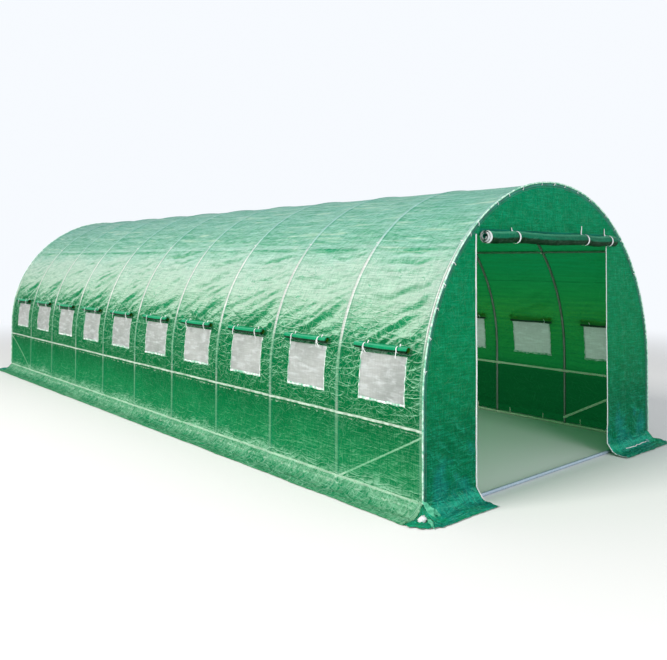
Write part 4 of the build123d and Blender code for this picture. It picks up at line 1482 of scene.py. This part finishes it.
for word, side in (("left", -1), ("right", 1)):
    outward = np.array([side * math.cos(roll_angle), 0, math.sin(roll_angle)])
    upward = np.array([-side * math.sin(roll_angle), 0, math.cos(roll_angle)])
    centre = np.array([side * roll_axis * math.cos(roll_angle), 0, leg + roll_axis * math.sin(roll_angle)])
    patches = []
    for n, y in enumerate(window_places):
        across, up, run = coil(roll_radius, 0.0042, 3.4, 22, math.radians(150), -1)
        tail_across = np.array([-0.0215, -0.0213])
        tail_up = np.array([0.030, 0.020])
        across, up = np.concatenate([tail_across, across]), np.concatenate([tail_up, up])
        run = np.concatenate([[-0.02, -0.01], run])
        columns = spread([y - roll_half, *(y + off for off in tie_offsets), y + roll_half], 0.020)
        pinch = 1 - 0.13 * sum(np.exp(-(((columns - y - off) / 0.014) ** 2)) for off in tie_offsets)
        soft = 1 + 0.05 * rough(columns / 0.09 + 3 * n, columns * 0 + 9, 812)
        girth = (pinch * soft)[:, None]
        from_middle = (columns - y) / roll_half
        droop = 0.004 * (1 - from_middle**2)[:, None]
        points = (
            centre[None, None, :]
            + (across[None, :] * girth)[..., None] * outward
            + (up[None, :] * girth - droop)[..., None] * upward
        )
        # the ends of the winding stand out a little, each turn by its own amount
        skew = 0.004 * np.sin(run * 40 + n)[None, :] * np.sign(columns - y)[:, None]
        skew = skew * np.abs(from_middle)[:, None] ** 6
        points[..., 1] = columns[:, None] + skew
        normals = grid_normals(points)
        middle = points.mean(axis=(0, 1))
        outer = slice(2, 20)
        if ((points[:, outer] - middle) * normals[:, outer]).sum() < 0:
            normals = -normals
        flat = run_and_turn(columns, run)
        patches.append((points, normals, flat))
    piece = woven_sheet(f"{word}_rolled_flaps", patches, roll_film)
    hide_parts(f"{word}_window_rolls")

    # two white ties hold each roll, each with a loose end over the netting
    draw = np.random.default_rng(861 + side)
    ties = []
    for y in (place + off for place in window_places for off in tie_offsets):
        turns = np.radians(np.linspace(125, -150, 15))
        loop_out = np.concatenate([[-0.019], 0.0232 * np.cos(turns)])
        loop_up = np.concatenate([[0.040], 0.0232 * np.sin(turns)])
        drift = draw.uniform(-0.006, 0.006)
        loop = centre + loop_out[:, None] * outward + loop_up[:, None] * upward
        loop[:, 1] = y + drift * np.linspace(1, -1, len(loop))
        ties.append(
            ribbon(loop, np.gradient(loop, axis=0) @ np.array([[0, 0, -side], [0, 1, 0], [side, 0, 0]]), 0.009)
        )
        for lean in draw.uniform(-0.022, 0.022, 2):
            hang = np.linspace(0, 1, 6)
            end_out, end_up = 0.0240 - 0.020 * hang**1.5, -0.006 - draw.uniform(0.040, 0.062) * hang
            end = centre + end_out[:, None] * outward + end_up[:, None] * upward
            end[:, 1] = y - drift + lean * hang**1.4
            ties.append(ribbon(end, outward, 0.007))
    # inside, a dark bar stands for the flap's folded hem and for the roll's painted shade through the film,
    # with a stitch of white thread at each tie
    bars = []
    for y in window_places:
        columns = spread([y - 0.242, y + 0.242], 0.03)
        rows = window_head_run + np.array([0.004, 0.014, 0.025])
        points, normals, flat = side_surface(word, columns, rows, np.array([[-0.003], [-0.008], [-0.003]]))
        bars.append((points, -normals, flat))
        for off in tie_offsets:
            stitch = np.array([
                [0.0, y + off + 0.006 * math.sin(k * 2.1 + off * 40), 0.972 + 0.012 * k] for k in range(5)
            ])
            stitch[:, 0] = side * (sheet_line * np.sqrt(1 - ((stitch[:, 2] - leg) / sheet_line) ** 2) - 0.016)
            ties.append(ribbon(stitch, (-side, 0, 0.2), 0.008))
    bar_piece = woven_sheet(f"{word}_flap_hems_and_roll_shade", bars, hem_and_roll_shade)
    tie_piece = woven_sheet(f"{word}_roll_ties", ties, white_tape)


# Front door: the sheet that closes the doorway, wound up on itself from the ground and tied over the
# opening. Its edges carry half of each zip, so the roll's left end shows white tape.

door_roll_radius, door_roll_pitch, door_roll_turns = 0.046, 0.009, 3.5
door_roll_left, door_roll_right, door_roll_y = -0.9225, 0.8125, -4.0663
strap_places = (-0.581, 0.349, 0.722)


def door_roll_points(columns):
    """Points of the wound door over places along X, with the run along the sheet at each section point."""
    across, up, run = coil(door_roll_radius, door_roll_pitch, door_roll_turns, 34, 0.0, -1)
    tail_up = np.array([0.050, 0.040, 0.030, 0.020, 0.010])
    across = np.concatenate([np.full(5, door_roll_radius), across])
    up = np.concatenate([tail_up, up])
    run = np.concatenate([tail_up * -1, run])
    squeeze = 1 - sum(0.10 * np.exp(-(((columns - x) / 0.022) ** 2)) for x in strap_places)
    soft = 1 + 0.035 * rough(columns / 0.16, columns * 0 + 2, 821)
    between_straps = np.interp(
        columns, [door_roll_left, *strap_places, door_roll_right], [0.25, 1, 2, 3, 3.2]
    )
    sag = -0.01 * np.abs(np.sin(np.pi * between_straps)) ** 1.5
    free = np.clip(np.arange(len(across)) / 8, 0, 1)
    scale = 1 + ((squeeze * soft)[:, None] - 1) * free[None, :]
    ripple = 0.0016 * rough(columns[:, None] / 0.05 + 9, run[None, :] / 0.05, 822)
    y = door_roll_y + across[None, :] * scale + ripple * free
    z = door_head + up[None, :] * scale + sag[:, None] * free + ripple * free
    x = columns[:, None] + 0.004 * np.sin(run * 14)[None, :] * (np.abs(columns / 0.9) ** 8)[:, None]
    # the left end is telescoped: the inner turns stand out of it
    wound = (np.clip(run, 0, None) / run[-1])[None, :]
    x = x - 0.016 * wound * (np.clip(columns / door_roll_left, 0, 1.1) ** 10)[:, None]
    return np.stack([x * np.ones_like(y), y, z], axis=-1), run


columns = spread([door_roll_left, door_roll_right, *strap_places], 0.019)
points, run = door_roll_points(columns)
normals = grid_normals(points)
if normals[:, 12:20, 1].mean() * np.sign(points[:, 12:20, 1].mean() - door_roll_y) < 0:
    normals = -normals
flat = run_and_turn(columns, run)
door_roll = woven_sheet("front_door_wound_up", [(points, normals, flat)], roll_film)
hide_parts("front_door_roll")

# the tape of the left zip shows along the turns at the roll's left end
columns = door_roll_left + np.array([-0.005, 0.004, 0.018])
points, run = door_roll_points(columns)
points, run = points[:, 8:], run[8:]
normals = grid_normals(points)
if normals[:, 4:12, 1].mean() * np.sign(points[:, 4:12, 1].mean() - door_roll_y) < 0:
    normals = -normals
edge_patch = (points + normals * 0.0016, normals, run_and_turn(columns, run))
door_edge = woven_sheet("front_door_edge_tape", [edge_patch], white_tape)


# Door straps: three white straps sewn to the panel above the doorway, slanting down over the rolled door
# and round under it.

straps = []
for x, (aside, high) in zip(strap_places, ((0.020, 0.066), (0.043, 0.110), (0.027, 0.099))):
    radius = door_roll_radius * 0.90 + 0.0035
    around = np.radians(np.linspace(60, 300, 18))
    loop_y = np.concatenate([
        [-sheet_front - 0.005, -sheet_front - 0.012], door_roll_y + radius * np.cos(around),
    ])
    loop_z = np.concatenate([
        [door_head + high, door_head + 0.054], door_head - 0.004 + radius * np.sin(around),
    ])
    loop_x = np.concatenate([[x + aside, x + aside * 0.5], np.full(18, x)])
    loop = np.stack([loop_x, loop_y, loop_z], axis=-1)
    face = np.concatenate([
        [(0, -1, 0.1), (0, -0.9, 0.4)], np.stack([0 * around, np.cos(around), np.sin(around)], axis=-1),
    ])
    straps.append(ribbon(loop, face, np.concatenate([[0.009, 0.011], np.full(18, 0.016)])))
door_straps = woven_sheet("door_straps", straps, white_tape)


# Zips: white tape sewn down both edges of each doorway, with a row of moulded plastic teeth. At the open
# front the tape runs on over the ground flap.

zip_wide, tooth_pitch = 0.011, 0.009
teeth_tree, teeth_in, teeth_out = new_tree(
    "teeth along a line", {"Pitch": "Float", "Size": "Vector", "Material": "Material"},
)
teeth_curve = put(teeth_tree, "GeometryNodeMeshToCurve", {"Mesh": teeth_in.outputs["Geometry"]})
teeth_points = put(
    teeth_tree, "GeometryNodeCurveToPoints",
    {"Curve": teeth_curve.outputs[0], "Length": teeth_in.outputs["Pitch"]}, mode="LENGTH",
)
tooth = put(teeth_tree, "GeometryNodeMeshCube", {"Size": teeth_in.outputs["Size"]})
painted_copies(teeth_tree, teeth_points, tooth, teeth_in, teeth_out)

white_plastic, plastic_out = new_material("white zip teeth")
plastic = put(
    white_plastic.node_tree, "ShaderNodeBsdfPrincipled", {"Base Color": (0.74, 0.77, 0.76, 1), "Roughness": 0.4}
)
white_plastic.node_tree.links.new(plastic.outputs[0], plastic_out.inputs["Surface"])


def panel_y(x, z, end, off):
    """Y on an end panel's outer face, moved out of it."""
    return end * (sheet_front + end_height(x, z, end) + off)


def on_panel(x, z, end, off):
    """Points on an end panel's outer face, moved out of it."""
    return np.stack([x, panel_y(x, z, end, off), z], axis=-1)


for word, end in (("front", -1), ("back", 1)):
    tapes, tooth_lines = [], []
    for edge, beyond in ((door_left, -1), (door_right, 1)):
        zs = spread([cover_foot, door_head + 0.012], 0.015)
        reach = zip_wide if end < 0 else zip_wide * 0.5
        xs = edge + beyond * np.linspace(-0.002 if end < 0 else -reach, reach, 4)
        x, z = np.meshgrid(xs, zs)
        swing = 0.0016 * rough(z / 0.12, z * 0 + edge, 905)
        y = panel_y(x, z, end, 0.0012 + 0.0006 * np.abs(np.sin(x * 900)))
        points = np.stack([x + swing, y, z], axis=-1)
        normals = grid_normals(points)
        normals *= np.sign(normals[..., 1].mean()) * end
        tapes.append((points, normals, np.stack([x, z], axis=-1)))
        line_z = np.linspace(cover_foot + 0.02, door_head, 24)
        line_x = np.full_like(line_z, edge + beyond * (0.0015 if end < 0 else 0.0))
        tooth_lines.append(on_panel(line_x, line_z, end, 0.0032))
        if end < 0:
            grid, grid_n = flap_grids["front_left" if beyond < 0 else "front_right"]
            strip = slice(-3, None) if beyond < 0 else slice(0, 3)
            lain, lain_n = grid[:, strip], grid_n[:, strip]
            inner = lain[:, -1] if beyond < 0 else lain[:, 0]
            towards = lain[:, 0] if beyond < 0 else lain[:, -1]
            share = np.linspace(0, 1, 4)[None, :, None]
            wide = zip_wide / np.linalg.norm(towards - inner, axis=-1)[:, None, None]
            cloth_points = inner[:, None] + (towards - inner)[:, None] * share * wide + lain_n[:, :1] * 0.0022
            cloth_normals = np.repeat(lain_n[:, :1], 4, axis=1)
            tapes.append((cloth_points, cloth_normals, cloth_points[..., :2]))
    zip_piece = woven_sheet(f"{word}_zip_tapes", tapes, white_tape)
    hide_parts(f"{word}_door_zips")
    teeth = grow(
        line_object(f"{word} tooth lines", tooth_lines), teeth_tree,
        {"Pitch": tooth_pitch, "Size": (0.0045, 0.0026, 0.0045), "Material": white_plastic},
        f"{word}_zip_teeth",
    )


# Arch binding: the side cover and the end panel are sewn together round each end hoop in a pale corded
# edge, with a dark seam beside it in painted shade, and short white ties through it.

binding_tape = tape_finish("arch binding", (0.66, 0.88, 0.74), (0.10, 0.42, 0.26), grime_size=38.0)
seam_and_shade_film = tape_finish("dark seam and painted shade", (0.004, 0.170, 0.120), (0.001, 0.080, 0.055), grime_size=12.0)
binding_radius, seam_wide, stitch_wide = 0.0055, 0.014, 0.004
for word, end in (("front", -1), ("back", 1)):
    turns = np.linspace(0, math.pi, 97)
    legs = np.linspace(cover_foot, leg, 16)[:-1]
    x = np.concatenate([np.full(15, -1.0), -np.cos(turns), np.full(15, 1.0)])
    rise = np.concatenate([legs - leg, 0 * turns, legs[::-1] - leg])
    lift = np.concatenate([np.zeros(15), np.sin(turns), np.zeros(15)])
    place = np.arange(len(x))
    lump = 0.0014 * rough(place / 1.7, place * 0.0, 931)
    reach = sheet_outside + 0.002 + lump
    path = np.stack(
        [x * reach, np.full(len(x), end * (sheet_front + 0.0035)), leg + rise + lift * reach], axis=-1,
    )
    binding = tubes(f"{word}_arch_binding", [path], binding_radius, 8, binding_tape)
    seams = []
    # the dark strips are the seam and also painted shade cast by the binding on the panel
    for inset, wide in ((0.016, seam_wide), (0.033, stitch_wide)):
        reach = sheet_outside - inset
        seam_line = on_panel(x * reach, leg + rise + lift * reach, end, 0.0016)
        seams.append(ribbon(seam_line, (0, end, 0), wide))
    for side, edge in ((-1, door_left), (1, door_right)):
        line_x = np.linspace(side * (arch_half_width(door_head + 0.01) - 0.01), edge, 14)
        line_z = np.full(14, door_head + 0.012)
        seams.append(ribbon(on_panel(line_x, line_z, end, 0.0014), (0, end, 0), 0.007))
    seam = woven_sheet(f"{word}_arch_seam_and_shade", seams, seam_and_shade_film)
    draw = np.random.default_rng(941 + end)
    tufts = []
    for turn in np.radians(np.arange(8, 173, 7.4)) + draw.uniform(-0.03, 0.03, 23):
        out = np.array([-math.cos(turn), 0, math.sin(turn)])
        sideways = np.array([math.sin(turn), 0, math.cos(turn)])
        centre = np.array([0, end * (sheet_front + 0.004), leg]) + out * 1.4985
        lean = draw.uniform(-0.008, 0.008)
        across = np.array([-0.017, -0.008, 0.0, 0.008, 0.011])
        puff = np.array([0.001, 0.0055, 0.0075, 0.005, 0.000])
        loop = (
            centre
            + across[:, None] * out
            + (lean * across / 0.017)[:, None] * sideways
            + (end * puff)[:, None] * np.array([0, 1, 0])
        )
        tufts.append(ribbon(loop, (0, end, 0), 0.0055))
        length = draw.uniform(0.014, 0.030)
        hang = np.linspace(0, 1, 4)[:, None]
        loose = loop[2] + hang * length * np.array([draw.uniform(-0.7, 0.7), end * 0.10, -0.8])
        tufts.append(ribbon(loose, (0.1, end, 0), 0.0040))
    tuft_piece = woven_sheet(f"{word}_arch_ties", tufts, white_tape)


# Corner ties: at the front left corner the hem's cord is knotted, beside a fold of loose cloth. At the right
# it runs along the flap to a steel ring.

knot_place, knot_radius = np.array([-1.566, -4.070, 0.024]), 0.022
turn, ring = np.meshgrid(np.linspace(0, 2 * math.pi, 25), np.linspace(0.02, math.pi - 0.02, 15))
knot_out = np.stack([np.cos(turn) * np.sin(ring), np.sin(turn) * np.sin(ring), np.cos(ring)], axis=-1)
lumps = (
    0.9
    + 0.75 * np.abs(rough(knot_out[..., 0] * 2.6 + 5, knot_out[..., 1] * 2.2 + knot_out[..., 2] * 2.9, 951))
)
knot_points = knot_place + knot_radius * (lumps[..., None] * knot_out) * np.array([1.25, 0.9, 0.85])
knot = woven_sheet("corner_knot", [(knot_points, unit(knot_out), knot_points[..., :2])], white_tape)

loose_cloth = []
for path, face, wide in (
    (
        ((-1.512, -4.022, 0.11), (-1.494, -4.04, 0.078), (-1.478, -4.058, 0.046), (-1.462, -4.082, 0.014)),
        (-0.6, -0.6, 0.5), (0.006, 0.044, 0.052, 0.016),
    ),
    (
        ((-1.5, -4.03, 0.085), (-1.47, -4.046, 0.062), (-1.44, -4.066, 0.036), (-1.418, -4.092, 0.013)),
        (-0.2, -0.8, 0.6), (0.006, 0.034, 0.04, 0.008),
    ),
    (
        ((-1.53, -4.085, 0.022), (-1.552, -4.118, 0.02), (-1.572, -4.152, 0.014), (-1.588, -4.186, 0.005)),
        (-0.3, -0.5, 0.8), (0.022, 0.034, 0.026, 0.004),
    ),
):
    path = np.array([np.interp(np.linspace(0, 3, 13), range(4), axis) for axis in np.transpose(path)]).T
    path[:, 2] += 0.006 * np.sin(np.linspace(0, math.pi, 13))
    crumpled = 0.62 + 0.9 * np.abs(rough(np.arange(13) / 1.7, np.full(13, path[0, 0] * 90), 953))
    path += (
        0.006
        * np.stack([rough(np.arange(13) / 2.2, np.full(13, 3.0 + axis), 955) for axis in range(3)], axis=-1)
    )
    path[:, 2] = np.maximum(path[:, 2], 0.004)
    loose_cloth.append(ribbon(path, face, crumpled * np.interp(np.linspace(0, 3, 13), range(4), wide)))
loose_finish = tape_finish("loose cloth", (0.11, 0.52, 0.31), (0.01, 0.26, 0.13), grime_size=40.0)
loose_piece = woven_sheet("corner_loose_cloth", loose_cloth, loose_finish)

grid, grid_normal = flap_grids["front_right"]
fold_row = 7
along_flap = slice(int(np.searchsorted(grid[0, :, 0], 0.986)), int(np.searchsorted(grid[0, :, 0], 1.366)))
hem_cord_path = grid[fold_row, along_flap] + grid_normal[fold_row, along_flap] * 0.004
hem_cord_path[:, 1] += 0.007 * rough(np.arange(len(hem_cord_path)) / 5.0, np.zeros(len(hem_cord_path)), 957)
hem_cord_ribbon = ribbon(hem_cord_path, grid_normal[fold_row, along_flap], 0.007)
hem_cord = woven_sheet("flap_hem_cord", [hem_cord_ribbon], white_tape)
ring_radius, ring_wire = 0.013, 0.0022
ring_centre = hem_cord_path[-1] + np.array([0.012, -0.002, 0.003])
ring_line = [
    ring_centre + ring_radius * np.array([math.cos(t), 0.8 * math.sin(t), 0.45 * math.sin(t) + 0.3])
    for t in np.linspace(0, 2 * math.pi, 21)
]
hem_ring = tubes("flap_ring", [ring_line], ring_wire, 8, bar_steel)


# Purlin tabs: a short tab of white tape is sewn across the cover at each hoop, just above the purlin, where
# the cover would wear through first.

for word in ("left", "right"):
    tabs = []
    for y in hoop_places:
        columns = np.linspace(max(y - 0.014, -sheet_front), min(y + 0.020, sheet_front), 5)
        rows = np.array([purlin_run + 0.040, purlin_run + 0.046])
        points, normals, flat = side_surface(word, columns, rows, 0.0022)
        points[..., 2] += 0.006 * ((columns - y) / 0.02)[None, :]
        tabs.append((points, normals, flat))
    tab_piece = woven_sheet(f"{word}_purlin_tabs", tabs, white_tape)


# Ground pegs: short steel pins that hold the ground rails, two to a bay, each standing a few centimetres
# above the rail.

peg_x, peg_radius = 1.464, 0.0038
peg_lines = [
    [(side * peg_x, hoop_places[0] + along, z) for z in (0.0125, 0.08)]
    for side in (-1, 1)
    for along in (0.23, 0.62)
]
pegs = tubes("ground_pegs", peg_lines, peg_radius, 8, lit_rail_steel, bays, (0, bay, 0))


# Fixings: a zinc-plated hexagon bolt through each hoop and rail, and a thin steel sleeve over each joint
# between the lengths of a hoop.

bolt_radius, bolt_inner, bolt_outer = 0.0068, 1.4590, 1.4662
bolt_lines = []
for angle, base_z in (
    (0, ground_rail_height), (0, side_rail_height), (purlin_angle, leg), (90, leg),
    (180 - purlin_angle, leg), (180, side_rail_height), (180, ground_rail_height),
):
    out = np.array([-math.cos(math.radians(angle)), 0, math.sin(math.radians(angle))])
    foot = np.array([0, hoop_places[0], base_z])
    bolt_lines.append([foot + out * reach for reach in (bolt_inner, bolt_outer)])
bolts = tubes("rail_bolts", bolt_lines, bolt_radius, 6, lit_rail_steel, bays + 1, (0, bay, 0))
sleeve_lines = []
for angle in (-3, 60, 120, 183):
    turns = np.radians(np.linspace(angle - 1.3, angle + 1.3, 4))
    sleeve_lines.append([
        (
            -hoop_line * (math.cos(t) if 0 < t < math.pi else math.copysign(1, math.cos(t))), hoop_places[0],
            leg + hoop_line * math.sin(t),
        )
        for t in turns
    ])
sleeve_radius = tube_radius + 0.0009
sleeves = tubes("hoop_sleeves", sleeve_lines, sleeve_radius, 16, hoop_steel, bays + 1, (0, bay, 0))
